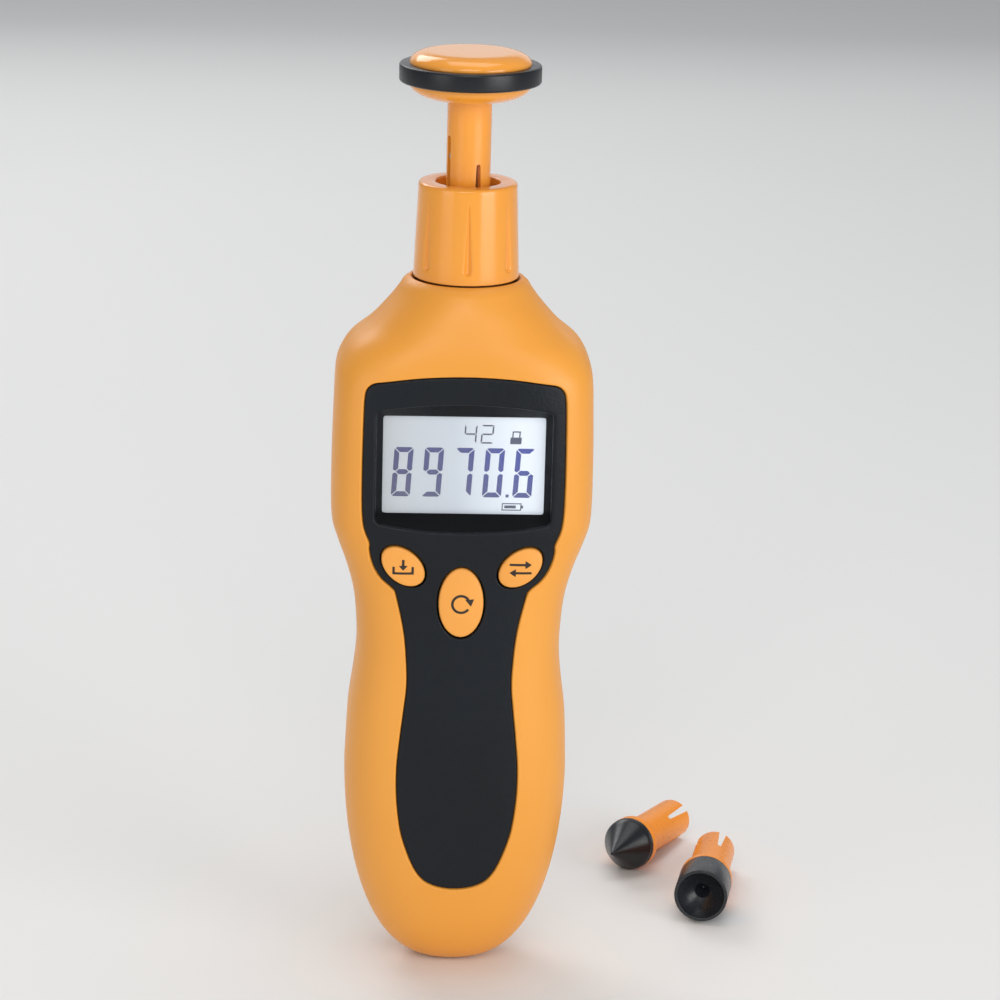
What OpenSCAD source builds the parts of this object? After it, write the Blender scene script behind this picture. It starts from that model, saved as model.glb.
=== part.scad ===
// Hand-held contact tachometer, with its measuring wheel fitted and its cone and funnel tips beside it.
// +Z runs up the drive axis to the wheel, the front panel faces -Y, and -X is the user's left.
// The origin is on the drive axis at the waist of the handle, where a hand holds it.

/* [Case] */
// Height of the case, foot to lip
case_h = 171; // [150:1:200]
// Width of the head
head_w = 61.6; // [56:0.2:70]
// Depth of the head
case_d = 41; // [40:0.5:48]
// Thickness of the case wall
wall_t = 2.6; // [2.4:0.1:3]

/* [Front panel] */
// Distance of the panel's lower end above the foot
panel_foot_gap = 23.5; // [20:0.1:28]
// Distance of the panel's top edge below the lip
panel_top_gap = 19.6; // [18:0.1:24]
// Width of the panel at the display
panel_w = 47.2; // [46:0.1:50]
// Thickness of the panel
panel_t = 1.5; // [1.2:0.1:1.8]
// Depth that the panel lies below the case
panel_sink = 0.35; // [0.2:0.05:0.6]
// Gap round the panel
panel_gap = 0.12; // [0.05:0.01:0.3]

/* [Display] */
// Width of the visible screen
screen_w = 37.7; // [34:0.1:39]
// Height of the visible screen
screen_h = 23.4; // [20:0.1:24.4]
// Distance of the screen's middle below the panel's top edge
screen_drop = 22; // [21:0.1:24]
// Depth of the window below the panel's face
screen_sink = 4.2; // [3.8:0.1:4.6]
// Slope of the frame's sides, seen from the front
frame_slope = 1.75; // [1.2:0.05:2.2]
// Bow of the frame's top and bottom edges
frame_bow = 1.9; // [0.5:0.1:2]
// Wall round the sunken frame
frame_wall = 1.9; // [1.5:0.1:2.2]
// Thickness of the window
window_t = 1; // [0.8:0.1:1.5]
// Thickness of the display cell
cell_t = 2.6; // [2:0.1:3]
// Height of the contact strips
strip_t = 2.6; // [2:0.1:3.2]
// Width of a contact strip
strip_w = 2.2; // [1.5:0.1:2.6]
// Wall of the frame that holds the cell
holder_wall = 1.2; // [0.8:0.1:1.4]

/* [Keys] */
// Length of a side key
side_key_l = 10.8; // [9:0.1:11.4]
// Breadth of a side key
side_key_b = 8.9; // [7.6:0.1:9.2]
// Lean of the side keys
side_key_lean = 37; // [30:1:45]
// Sideways place of the side keys
side_key_x = 13.65; // [13.4:0.05:14.2]
// Distance of the side keys below the screen's middle
side_key_drop = 23.45; // [23:0.05:25]
// Width of the measure key
measure_key_w = 10.5; // [9:0.1:10.8]
// Height of the measure key
measure_key_h = 17.4; // [15:0.1:17.8]
// Distance of the measure key below the screen's middle
measure_key_drop = 32.4; // [32:0.1:36]
// Stand of the keys above the panel
key_proud = 0.9; // [0.6:0.05:1.4]
// Gap round each key
key_gap = 0.45; // [0.3:0.05:0.6]
// Travel of the keys
key_travel = 0.6; // [0.4:0.05:0.8]
// Width of the rim that keeps a key in
key_rim = 1.5; // [1.3:0.1:1.7]
// Thickness of that rim
key_rim_t = 1; // [0.8:0.1:1.2]

/* [Key switches] */
// Width of a switch
switch_w = 6; // [5:0.1:6.4]
// Radius of a plunger
plunger_r = 1.75; // [1.4:0.05:2]

/* [Board] */
// Thickness of the board
board_t = 1.6; // [1:0.1:2]
// Distance of the board's edges from the case wall
board_side_gap = 4.2; // [3.5:0.1:5]
// Clearance of the board and its screws from what they pass
board_gap = 1.1; // [0.8:0.1:1.4]

/* [Supply inlet] */
// Distance of the inlet below the screen's middle
inlet_drop = 4.1; // [2:0.1:8]
// Radius of the hole in the case
inlet_hole_r = 3.5; // [3.2:0.1:4]
// Radius of the plug's barrel
inlet_r = 2.9; // [2.6:0.1:3]
// Depth of the inlet
inlet_l = 9; // [7:0.5:10]
// Radius of the centre pin
inlet_pin_r = 1; // [0.6:0.05:1.2]
// Size of the inlet's block
inlet_block = [14, 12.5, 11]; // [10:0.5:16]
// Radius of the shallow dish round it
inlet_dish_r = 4.6; // [4:0.1:6]
// Depth of that dish
inlet_dish_t = 0.35; // [0.2:0.05:0.5]

/* [Battery] */
// Width, depth and height of the battery's case
battery_size = [26.5, 17.5, 46.4]; // [15:0.1:48]
// Room between the clip and the board's tail
clip_room = 1.8; // [1.4:0.1:3]
// Radius of the small snap
snap_small_r = 2.9; // [2.5:0.1:3]
// Radius of the large snap
snap_large_r = 4.1; // [3.8:0.1:4.2]
// Distance between the snaps
snap_pitch = 12.7; // [12:0.1:13.4]
// Height of the snaps
snap_h = 2.1; // [1.8:0.1:2.6]
// How much narrower and less deep than the battery the clip is
clip_margin = [1.5, 4.5]; // [1:0.1:6]
// Height of the clip
clip_h = 4; // [3.5:0.1:5]
// Radius of a lead
lead_r = 0.6; // [0.4:0.05:0.8]
// Width and height of the foam pad
pad_size = [16, 30]; // [12:1:34]
// Thickness of the foam pad at its thinnest
pad_t = 2; // [1.6:0.1:3]

/* [Battery door] */
// Width of the door
door_w = 30.6; // [29:0.1:32]
// Reach of the door above the clip
door_reach = 4; // [3:0.1:6]
// Distance of the door's screw below the battery
door_screw_drop = 4; // [3.8:0.1:5]
// Radius of its corners
door_corner_r = 4; // [2:0.5:6]
// Thickness of the door's skin
door_t = 1.3; // [1.1:0.1:1.5]
// Width of the ledge that it lies on
door_ledge = 1.1; // [0.8:0.1:1.4]
// Gap round the door
door_gap = 0.2; // [0.15:0.05:0.3]
// Distance of the door's lower edge below its screw
door_screw_edge = 4.5; // [4.2:0.1:6]

/* [Screws] */
// Radius of a case screw
screw_r = 1.4; // [1.2:0.05:1.6]
// Radius of its head
screw_head_r = 2.7; // [2.4:0.1:2.9]
// Thickness of its head
screw_head_t = 1.9; // [1.5:0.1:2.2]
// Radius of a screw's pillar
pillar_r = 3.4; // [3.2:0.1:3.6]
// Depth of a screw's head below the case
screw_sink = 1.2; // [0.8:0.1:1.6]
// Depth of the thread in the front pillar
screw_bite = 11; // [8:0.5:12]
// Sideways place of the upper screws
upper_screw_x = 17; // [17:0.1:17.6]
// Distance of the upper screws below the lip
upper_screw_drop = 15.2; // [14.8:0.1:16]
// Sideways place of the lower screws
lower_screw_x = 12; // [10:0.1:12.5]
// Height of the lower screws above the foot
lower_screw_up = 15.3; // [14.8:0.1:16]
// Radius of a board screw
board_screw_r = 1; // [0.8:0.05:1.1]
// Radius of a board screw's head
board_screw_head_r = 1.9; // [1.7:0.1:2.2]
// Thickness of a board screw's head
board_screw_head_t = 1.2; // [1:0.1:1.5]
// Radius of a board pillar
board_pillar_r = 2.2; // [2:0.1:2.3]
// Sideways place of the upper board screws
board_screw_x = 17; // [16:0.1:17.5]

/* [Nose socket] */
// Height of the socket above its bottom
sleeve_h = 13.4; // [12.5:0.1:13.6]
// Inner radius of the socket
sleeve_r = 9.7; // [9.2:0.05:9.9]
// Wall of the socket
sleeve_wall = 1.5; // [1.2:0.1:1.6]
// Depth of the socket's top below the lip
sleeve_sink = 0.3; // [0.2:0.1:0.6]
// Gap between its flange and the case wall
sleeve_flange_gap = 1.3; // [0.8:0.1:1.8]
// Thickness of its flange
sleeve_flange_t = 2; // [1.5:0.1:2.4]
// Thickness of the pickup window
pickup_window_t = 1; // [0.8:0.1:1.1]
// Thickness of the ledge under the window
pickup_ledge_t = 0.6; // [0.5:0.1:0.8]
// Width, depth and height of the pickup block
pickup_block_size = [19, 13, 9.3]; // [8:0.1:20]
// Distance of each pickup from the axis
pickup_x = 4.6; // [3.6:0.1:5.4]
// Radius of the light source and of the receiver
pickup_r = 1.5; // [1.2:0.05:1.6]

/* [Adapter] */
// Height of the collar above the case
collar_h = 22.1; // [20:0.1:24]
// Radius of the collar at the bottom
collar_bottom_r = 12.35; // [12.2:0.05:12.6]
// Radius of the collar at the top
collar_top_r = 11.45; // [11:0.05:11.8]
// Gap between the collar and the lip
collar_gap = 0.3; // [0.2:0.05:0.5]
// Margin of the case's lip round the collar
lip_margin = 0.4; // [0.2:0.05:0.8]
// Rounding of the collar's top edge
collar_round = 0.8; // [0.4:0.1:1]
// Number of grip flutes
flute_count = 7; // [5:1:8]
// Radius of a flute at its bottom
flute_r = 1.2; // [0.9:0.05:1.4]
// Height of the flutes' round ends above the collar's bottom
flute_low = 3.3; // [2.6:0.1:4]
// Height of the flutes' points above the collar's bottom
flute_high = 18; // [15:0.1:19]
// Radius of the well at the top
well_r = 7.5; // [7.2:0.1:7.8]
// Depth of the well
well_h = 9.6; // [9:0.1:10.2]
// Radius of the spigot
spigot_r = 9.6; // [9:0.05:9.8]
// Length of the spigot
spigot_l = 8.8; // [8.4:0.1:9]
// Thickness of the spigot's inner lip
spigot_lip_t = 0.7; // [0.6:0.1:0.9]
// Thickness of the seal ring
seal_t = 1.6; // [1.2:0.1:1.8]

/* [Bearings] */
// Bore radius of a bearing
bearing_bore_r = 2.5; // [2.3:0.1:2.6]
// Outer radius of a bearing
bearing_r = 5.5; // [5.3:0.1:5.7]
// Width of a bearing
bearing_w = 5; // [4.5:0.1:5.2]
// Thickness of a ring
ring_t = 0.85; // [0.7:0.05:0.9]
// Radius of a ball
ball_r = 0.75; // [0.65:0.05:0.8]
// Number of balls in a bearing
ball_count = 7; // [5:1:8]
// Clearance of a ball in its grooves
ball_gap = 0.06; // [0.05:0.01:0.08]
// Height of a cage
cage_h = 2.4; // [2.2:0.1:2.8]
// Thickness of a cage
cage_t = 0.5; // [0.4:0.05:0.55]
// Thickness of the ring above the upper bearing
retainer_t = 1; // [0.8:0.1:1.2]
// Hole radius of that ring
retainer_hole_r = 4.3; // [4:0.1:4.5]

/* [Spindle] */
// Radius of the spindle's head
spindle_r = 3.45; // [3.2:0.01:3.6]
// Radial clearance of the head in a tip
socket_gap = 0.05; // [0.03:0.01:0.1]
// Radius of the drive pin
pin_r = 0.65; // [0.5:0.05:0.7]
// Length of the drive pin
pin_l = 9.6; // [9:0.1:10]
// Depth of the pin below the bottom of a tip's socket
pin_drop = 5.3; // [4.5:0.1:6]
// Radius of the pickup disc
disc_r = 8.4; // [8:0.1:8.8]
// Thickness of the pickup disc
disc_t = 0.8; // [0.6:0.1:1]
// Number of windows in the pickup disc
disc_windows = 6; // [4:1:8]
// Radius of the disc's hub
disc_hub_r = 3.2; // [3:0.1:3.3]
// Height of the disc's hub
disc_hub_h = 1.9; // [1.8:0.1:2.2]
// Radius of the disc screw
disc_screw_r = 0.9; // [0.7:0.05:1]
// Radius of the disc screw's head
disc_screw_head_r = 3; // [2.8:0.1:3.2]
// Thickness of the disc screw's head
disc_screw_head_t = 1; // [0.7:0.1:1.1]
// Length of the disc screw
disc_screw_l = 6; // [5:0.5:8]

/* [Tips] */
// Depth of the wheel's split end in the well
stem_in = 6.1; // [5:0.1:7]
// Radius of a tip's stem
stem_r = 5.15; // [5:0.05:5.3]
// Length of the socket in a stem
socket_l = 17.5; // [16:0.1:18.5]
// Length of the two drive slots
drive_slot_l = 16.9; // [15:0.1:17]
// Length of the two relief slots
relief_slot_l = 10.8; // [9:0.1:12]
// Width of the drive slots
drive_slot_w = 1.5; // [1.45:0.01:1.6]
// Width of the relief slots
relief_slot_w = 1; // [0.8:0.05:1.1]
// Rounding of the split end
split_round = 0.7; // [0.4:0.1:0.8]
// Direction of the drive slots, anticlockwise from the front
slot_turn = -65; // [-90:5:0]
// Length of a loose holder
holder_l = 26; // [24:0.5:30]
// Radius of a loose holder's flange
flange_r = 6.75; // [6.4:0.05:7]
// Thickness of a loose holder's flange
flange_t = 2.2; // [1.5:0.1:2.6]
// Length of the flare under the flange
flare_l = 2.4; // [1.8:0.1:3]
// Radius of the peg that holds a rubber
peg_r = 3.6; // [3:0.1:4]
// Length of that peg
peg_l = 3; // [2.4:0.1:3.4]
// Length of the cone rubber
cone_l = 11.4; // [9:0.1:13]
// Length of the cone's straight rim
cone_rim_l = 2; // [1:0.1:3]
// Radius of the cone's point
cone_point_r = 0.45; // [0.3:0.05:0.8]
// Length of the funnel rubber
funnel_l = 12; // [11:0.1:14]
// Radius of the funnel's mouth
funnel_mouth_r = 5.9; // [5.4:0.1:6.1]
// Depth of the funnel's outer cone
funnel_outer_l = 4; // [3:0.1:4.4]
// Radius at the step between its cones
funnel_step_r = 2.6; // [2.2:0.1:3]
// Depth of the funnel's inner cone
funnel_inner_l = 3.6; // [3:0.1:4]
// Split end of the cone tip, towards +X
cone_x = 61.8; // [40:0.1:90]
// Split end of the cone tip, towards +Y
cone_y = 77.1; // [40:0.1:90]
// Direction in which the cone tip points
cone_turn = -120.3; // [-150:0.1:-90]
// Turn of the cone tip about its own axis
cone_roll = 45; // [0:1:90]
// Split end of the funnel tip, towards +X
funnel_x = 71; // [40:0.1:90]
// Split end of the funnel tip, towards +Y
funnel_y = 54.8; // [40:0.1:90]
// Direction in which the funnel tip points
funnel_turn = -101.3; // [-130:0.1:-80]
// Turn of the funnel tip about its own axis
funnel_roll = 22; // [0:1:90]

/* [Wheel] */
// Radius over the tyre
wheel_r = 16.4; // [15:0.05:17.5]
// Width of the tyre
tyre_w = 4.2; // [3.5:0.1:5]
// Height of the tyre's section
tyre_t = 2.6; // [2:0.1:3]
// Slope cut on the tyre's edges
tyre_chamfer = 0.6; // [0.3:0.1:0.8]
// Height of the hub's crown above the tyre
crown_h = 2.9; // [2:0.1:3.5]
// Width of the crown's rounding
crown_round = 3.6; // [2:0.1:4.5]
// Radius of the hub at the tyre's sides
hub_r = 14.15; // [13.9:0.05:14.3]
// Height of the hub's lower cone
hub_cone_h = 4.1; // [3:0.1:5]
// Length of the stem below that cone
wheel_stem_l = 25.1; // [24:0.1:27]

/* [Hidden] */

$fn = 48;
over = 1;         // overrun of every cut
touch = 0.05;     // clearance between faces that lie on each other
small_fn = 32;

case_colour = "#f2a23c";
tip_colour = "#f7901e";
panel_colour = "#20242b";
rubber_colour = "#26272c";
steel = "#c3c7cc";

// Case outline. Each row: height share from foot to lip, then the shares by which the half width, the
// front depth and the rear depth pass the lip's radius, and the roundness of the section's corners.
case_shares = [
    [0.3, 0.778, 0.857, 0.794, 2.9],
    [0.385, 0.739, 0.841, 0.775, 3.1],
    [0.432, 0.679, 0.833, 0.749, 3.2],
    [0.4754, 0.64, 0.833, 0.735, 3.3],
    [0.522, 0.652, 0.847, 0.735, 3.4],
    [0.563, 0.698, 0.86, 0.762, 3.5],
    [0.604, 0.802, 0.886, 0.815, 3.7],
    [0.641, 0.925, 0.926, 0.881, 4],
    [0.668, 0.99, 0.963, 0.947, 4.3],
    [0.738, 1, 1, 1, 4.5],
    [0.826, 0.98, 1, 1, 4.4],
    [0.873, 0.956, 0.968, 0.968, 4],
    [0.894, 0.891, 0.921, 0.921, 3.5],
    [0.914, 0.771, 0.847, 0.847, 3],
    [0.937, 0.526, 0.725, 0.725, 2.5],
    [0.966, 0.287, 0.54, 0.54, 2.15],
    [0.986, 0.147, 0.344, 0.344, 2],
    [0.9965, 0.082, 0.191, 0.191, 2],
    [1, 0, 0, 0, 2]];
foot_share = case_shares[0][0];
foot_power_share = 0.36;
foot_corner_share = 2.2;
foot_rings = 8;
side_steps = 16;

waist_share = case_shares[3][0];
foot_z = -case_h * waist_share;
lip_z = foot_z + case_h;
lip_r = collar_bottom_r + lip_margin;

function share_at(z) = (z - foot_z) / case_h;
function row_for(h, i = 0) =
    i >= len(case_shares) - 2 || h < case_shares[i + 1][0] ? i : row_for(h, i + 1);
function slope(i, c) =
    let (a = max(i - 1, 0), b = min(i + 1, len(case_shares) - 1))
    (case_shares[b][c] - case_shares[a][c]) / (case_shares[b][0] - case_shares[a][0]);
// Smooth curve through column c of the outline
function curve(h, c) =
    let (i = row_for(h), a = case_shares[i], b = case_shares[i + 1], d = b[0] - a[0], t = (h - a[0]) / d)
    (2 * t ^ 3 - 3 * t ^ 2 + 1) * a[c] + (t ^ 3 - 2 * t ^ 2 + t) * d * slope(i, c)
        + (3 * t ^ 2 - 2 * t ^ 3) * b[c] + (t ^ 3 - t ^ 2) * d * slope(i + 1, c);
// The foot closes below the last row as a rounded cap
function cap(h) = h >= foot_share ? 1 : (1 - ((foot_share - h) / foot_share) ^ 2) ^ foot_power_share;
function outline(size, h, c) = (lip_r + (size / 2 - lip_r) * curve(max(h, foot_share), c)) * cap(h);
width_column = 1;
front_column = 2;
rear_column = 3;
corner_column = 4;
function half_w(z) = outline(head_w, share_at(z), width_column);
function front_d(z) = outline(case_d, share_at(z), front_column);
function rear_d(z) = outline(case_d, share_at(z), rear_column);
function corner(z) =
    let (h = share_at(z), n = curve(max(h, foot_share), corner_column))
    h >= foot_share ? n : foot_corner_share + (n - foot_corner_share) * h / foot_share;
function shell_at(x, z, depth, inset) = let (n = corner(z))
    (depth - inset) * (1 - min(abs(x) / (half_w(z) - inset), 1) ^ n) ^ (1 / n);
function front_at(x, z, inset = 0) = shell_at(x, z, front_d(z), inset);
function rear_at(x, z, inset = 0) = shell_at(x, z, rear_d(z), inset);

foot_tip_share = 0.995;
long_span_share = 0.05;
ring_shares = concat(
    [for (i = [0 : foot_rings - 1]) foot_share * (1 - foot_tip_share * cos(90 * i / foot_rings))],
    [for (i = [0 : len(case_shares) - 2]) let (a = case_shares[i][0], b = case_shares[i + 1][0])
        each (b - a > long_span_share ? [a, (a + b) / 2] : [a])],
    [1]);
// Height of a ring whose surface is inset: the foot draws in from below as well
function ring_z(h, inset) = h == ring_shares[0] ? foot_z + inset :
    foot_z + case_h * h + (h < foot_share ? inset * ((foot_share - h) / foot_share) ^ 2 : 0);

// One half of the case between two heights, inset all round. side is -1 for the front and 1 for the
// rear. reach carries the flat face past the parting plane, for a cut.
module case_half(inset, side, reach = 0, low = foot_z, high = lip_z) {
    inner = [for (h = ring_shares) if (ring_z(h, inset) >= low && ring_z(h, inset) < high)
        [ring_z(h, inset), h]];
    levels = concat(
        low > foot_z ? [[low, share_at(low)]] : [], inner,
        high < lip_z ? [[high, share_at(high)]] : [[lip_z, 1]]);
    ring = side_steps + (reach > 0 ? 3 : 1);
    points = [for (l = levels)
        let (z = foot_z + case_h * l[1],
             a = half_w(z) - inset,
             b = (side < 0 ? front_d(z) : rear_d(z)) - inset,
             n = corner(z))
        each concat(
            [for (k = [0 : side_steps])
                let (c = cos(180 * k / side_steps), s = sin(180 * k / side_steps))
                [a * sign(c) * abs(c) ^ (2 / n), side * b * s ^ (2 / n), l[0]]],
            reach > 0 ? [[-a, -side * reach, l[0]], [a, -side * reach, l[0]]] : [])];
    top = (len(levels) - 1) * ring;
    walls = [for (j = [0 : len(levels) - 2]) for (k = [0 : ring - 1])
        let (p = j * ring + k, q = j * ring + (k + 1) % ring)
        each [[p, q + ring, q], [p, p + ring, q + ring]]];
    ends = [for (k = [1 : ring - 2]) each [[0, k, k + 1], [top, top + k + 1, top + k]]];
    polyhedron(points, [for (f = concat(walls, ends)) side > 0 ? f : [f[2], f[1], f[0]]]);
}

// Turns a shape drawn on the XY plane and raised along Z into one drawn on XZ and raised along -Y
module facing_front() rotate([90, 0, 0]) children();
module front_prism(y_near, y_far) translate([0, -y_near, 0]) facing_front()
    linear_extrude(y_far - y_near) children();
module rear_prism(y_near, y_far) translate([0, y_far, 0]) facing_front()
    linear_extrude(y_far - y_near) children();
module rounded(w, h, r) offset(r = r, $fn = small_fn) square([w - 2 * r, h - 2 * r], center = true);
module tube(r_out, r_in, h) difference() {
    cylinder(r = r_out, h = h);
    translate([0, 0, -over]) cylinder(r = r_in, h = h + 2 * over);
}
module mirrored() { children(); mirror([1, 0, 0]) children(); }

// Front panel outline: half of it, as shares of half the panel's width and of its height from the top
panel_half_shares = [
    [0, 0], [0.437, 0.0035], [0.79, 0.0125], [0.9, 0.0165], [0.965, 0.026], [0.99, 0.042], [1, 0.09],
    [1.006, 0.21], [0.99, 0.279], [0.925, 0.316], [0.919, 0.322], [0.924, 0.33], [0.905, 0.35],
    [0.86, 0.371], [0.79, 0.388], [0.683, 0.404], [0.648, 0.418], [0.565, 0.488], [0.53, 0.558],
    [0.529, 0.598], [0.549, 0.635], [0.585, 0.695], [0.612, 0.75], [0.612, 0.805], [0.583, 0.86],
    [0.54, 0.899], [0.44, 0.95], [0.345, 0.978], [0.245, 0.991], [0.12, 0.998], [0, 1]];
panel_fair_steps = 3;
panel_top = lip_z - panel_top_gap;
panel_h = panel_top - foot_z - panel_foot_gap;
function panel_point(i) =
    let (n = len(panel_half_shares) - 1, k = i < 0 ? -i : i > n ? 2 * n - i : i,
         flip = i < 0 || i > n ? -1 : 1)
    [flip * panel_half_shares[k][0], panel_half_shares[k][1]];
function fair(i, t) =
    let (a = panel_point(i - 1), b = panel_point(i), c = panel_point(i + 1), d = panel_point(i + 2))
    (2 * b + (c - a) * t + (2 * a - 5 * b + 4 * c - d) * t ^ 2 + (3 * b - a - 3 * c + d) * t ^ 3) / 2;
panel_side = [for (i = [0 : len(panel_half_shares) - 2]) for (s = [0 : panel_fair_steps - 1])
    let (p = fair(i, s / panel_fair_steps)) [p[0] * panel_w / 2, panel_top - p[1] * panel_h]];
panel_tip = [0, panel_top - panel_h];
module panel_outline() polygon(concat(
    panel_side, [panel_tip],
    [for (i = [len(panel_side) - 1 : -1 : 1]) [-panel_side[i][0], panel_side[i][1]]]));

// Display stack, as distances from the drive axis towards the front
panel_face = case_d / 2 - panel_sink;
window_front = panel_face - screen_sink;
window_back = window_front - window_t;
cell_back = window_back - touch - cell_t;
board_front = cell_back - strip_t;
board_back = board_front - board_t;
screen_z = panel_top - screen_drop;
side_key_z = screen_z - side_key_drop;
measure_key_z = screen_z - measure_key_drop;

// The sunken frame widens to the front, and its top and bottom edges bow
mouth_w = screen_w + 2 * frame_slope;
mouth_h = screen_h + 2 * frame_slope;
frame_block_w = mouth_w + 2 * frame_wall;
frame_block_h = mouth_h + 2 * frame_bow + frame_wall / 2;
bow_steps = 8;
function bow(w, h, rise) = [for (s = [1, -1]) for (i = [0 : bow_steps])
    let (u = 1 - 2 * i / bow_steps) [s * u * w / 2, s * (h / 2 + rise * (1 - u ^ 2))]];
module at_screen() translate([0, 0, screen_z]) children();
module frame_mouth() {
    widen = (screen_sink + over) / screen_sink;
    grow = 2 * frame_slope * widen;
    at_screen() hull() {
        front_prism(panel_face + over, panel_face + over + touch)
            polygon(bow(screen_w + grow, screen_h + grow, frame_bow * widen));
        front_prism(window_front, window_front + touch) square([screen_w, screen_h], center = true);
    }
    at_screen() front_prism(window_front - over, window_front + touch)
        square([screen_w, screen_h], center = true);
}
module frame_block(gap, y_near) at_screen() front_prism(y_near, case_d)
    square([frame_block_w + 2 * gap, frame_block_h + 2 * gap], center = true);

// Keys: x, z, length, height and lean of each
side_key_size = [side_key_l, side_key_b];
measure_key_size = [measure_key_w, measure_key_h];
module key_place(x, z, lean) translate([x, 0, z]) rotate([0, -lean, 0]) children();
module key_oval(size, grow) scale([size[0] / 2 + grow, size[1] / 2 + grow]) circle(r = 1);
module memory_place() key_place(-side_key_x, side_key_z, -side_key_lean) children();
module mode_place() key_place(side_key_x, side_key_z, side_key_lean) children();
module measure_place() key_place(0, measure_key_z, 0) children();
module key_holes(grow) {
    memory_place() front_prism(0, case_d) key_oval(side_key_size, grow);
    mode_place() front_prism(0, case_d) key_oval(side_key_size, grow);
    measure_place() front_prism(0, case_d) key_oval(measure_key_size, grow);
}
hole_step = 0.3; // the case's key holes are this much wider than the panel's
side_key_face = front_at(side_key_x, side_key_z) - panel_sink;
measure_key_face = front_at(0, measure_key_z) - panel_sink;

// A key's rim lies below the lowest part of the wall that it meets
wall_gap = 0.3;
function rim_top(x, z, size, lean) = min([for (a = [0 : 30 : 330])
    let (u = (size[0] / 2 + key_rim) * cos(a), v = (size[1] / 2 + key_rim) * sin(a))
    front_at(x + u * cos(lean) - v * sin(lean), z + u * sin(lean) + v * cos(lean), wall_t)]) - wall_gap;
side_rim_top = rim_top(side_key_x, side_key_z, side_key_size, side_key_lean);
measure_rim_top = rim_top(0, measure_key_z, measure_key_size, 0);
plunger_gap = 0.1;
key_floor = min(side_rim_top, measure_rim_top) - key_rim_t;
switch_top = key_floor - key_travel - 2 * plunger_gap;
switch_floor_t = 0.6;
plunger_floor = board_front + switch_floor_t;

// Pillars and screws
upper_screw_z = lip_z - upper_screw_drop;
case_screw_places = [[upper_screw_x, upper_screw_z], [lower_screw_x, foot_z + lower_screw_up]];
pillar_split = 0.2; // gap between a front and a rear pillar
screw_gap = 0.2;
board_w = 2 * (half_w(screen_z) - wall_t - board_side_gap);
board_tail_w = 2 * (half_w(0) - wall_t - board_side_gap);
board_screw_edge = board_screw_head_r + board_gap;
board_top = upper_screw_z - pillar_r - board_gap;
board_step = screen_z - frame_block_h / 2 - board_gap;
board_tail_screw_z = measure_key_z - measure_key_h / 2 - key_rim - board_pillar_r - board_gap;
board_bottom = board_tail_screw_z - board_screw_edge;
board_screw_places = [
    [board_screw_x, board_top - board_screw_edge],
    [board_tail_w / 2 - board_screw_edge, board_tail_screw_z]];
board_screw_l = board_t + 5 * board_screw_r;
function head_y(p) = min([for (a = [0 : 45 : 315])
    rear_at(p[0] + pillar_r * cos(a), p[1] + pillar_r * sin(a))]) - screw_sink - screw_head_t;

// Neck and sleeve
sleeve_out_r = sleeve_r + sleeve_wall;
sleeve_top = lip_z - sleeve_sink;
sleeve_bottom = sleeve_top - sleeve_h;
flange_top = lip_z - sleeve_sink - sleeve_h / 3;
flange_bottom = flange_top - sleeve_flange_t;
hollow_top = flange_top + touch;
sleeve_flange_r = min(front_d(flange_bottom), rear_d(flange_bottom)) - wall_t - sleeve_flange_gap;
neck_rib_t = 2;
neck_rib_top = flange_bottom - touch;
neck_rib_r = front_d(neck_rib_top) - wall_t / 2;
window_z = sleeve_bottom + pickup_ledge_t;
block_top = sleeve_bottom - touch;

// Supply inlet
inlet_z = screen_z - inlet_drop;
inlet_face = half_w(inlet_z) - inlet_dish_t;
inlet_start = half_w(inlet_z) - wall_t - wall_gap;

// Battery compartment
clip_size = [battery_size[0] - clip_margin[0], battery_size[1] - clip_margin[1], clip_h];
battery_top = board_bottom - clip_room - clip_h;
battery_z = battery_top - battery_size[2];
door_depth = door_t + door_ledge;
battery_back = rear_d(battery_z) - door_depth - pad_t;
battery_y = battery_back - battery_size[1];
battery_mid_y = battery_y + battery_size[1] / 2;
battery_gap = 0.3;
cradle_w = 18;
cradle_shares = [0.3, 0.7];
rib_t = 1.6;
clip_top = battery_top + clip_size[2];
door_screw_z = battery_z - door_screw_drop;
door_low = door_screw_z - door_screw_edge;
door_high = clip_top + door_reach;
door_h = door_high - door_low;
door_z = (door_low + door_high) / 2;
door_margin = 2;

// The door's screw is a smaller one, in a boss of the door
door_screw_share = 0.8;
door_screw_r = screw_r * door_screw_share;
door_head_r = screw_head_r * door_screw_share;
door_head_t = screw_head_t * door_screw_share;
door_boss_r = door_head_r + 0.8;
door_boss_depth = door_depth + 0.5;
door_screw_bite = 6;
door_face = rear_at(0, door_screw_z);
door_head_y = door_face - door_boss_depth + 1;
module door_shape(shrink) translate([0, door_z])
    rounded(door_w - 2 * shrink, door_h - 2 * shrink, door_corner_r - shrink);
module door_prism(shrink) rear_prism(0, case_d) door_shape(shrink);
module door_layer(outer, inner) difference() {
    case_half(outer, 1, 0, door_low - door_margin, door_high + door_margin);
    case_half(inner, 1, over, door_low - 2 * door_margin, door_high + 2 * door_margin);
}
module door_opening(shrink, depth) difference() {
    door_prism(shrink);
    case_half(depth + touch, 1, over, door_low - 2 * door_margin, door_high + 2 * door_margin);
}

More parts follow.
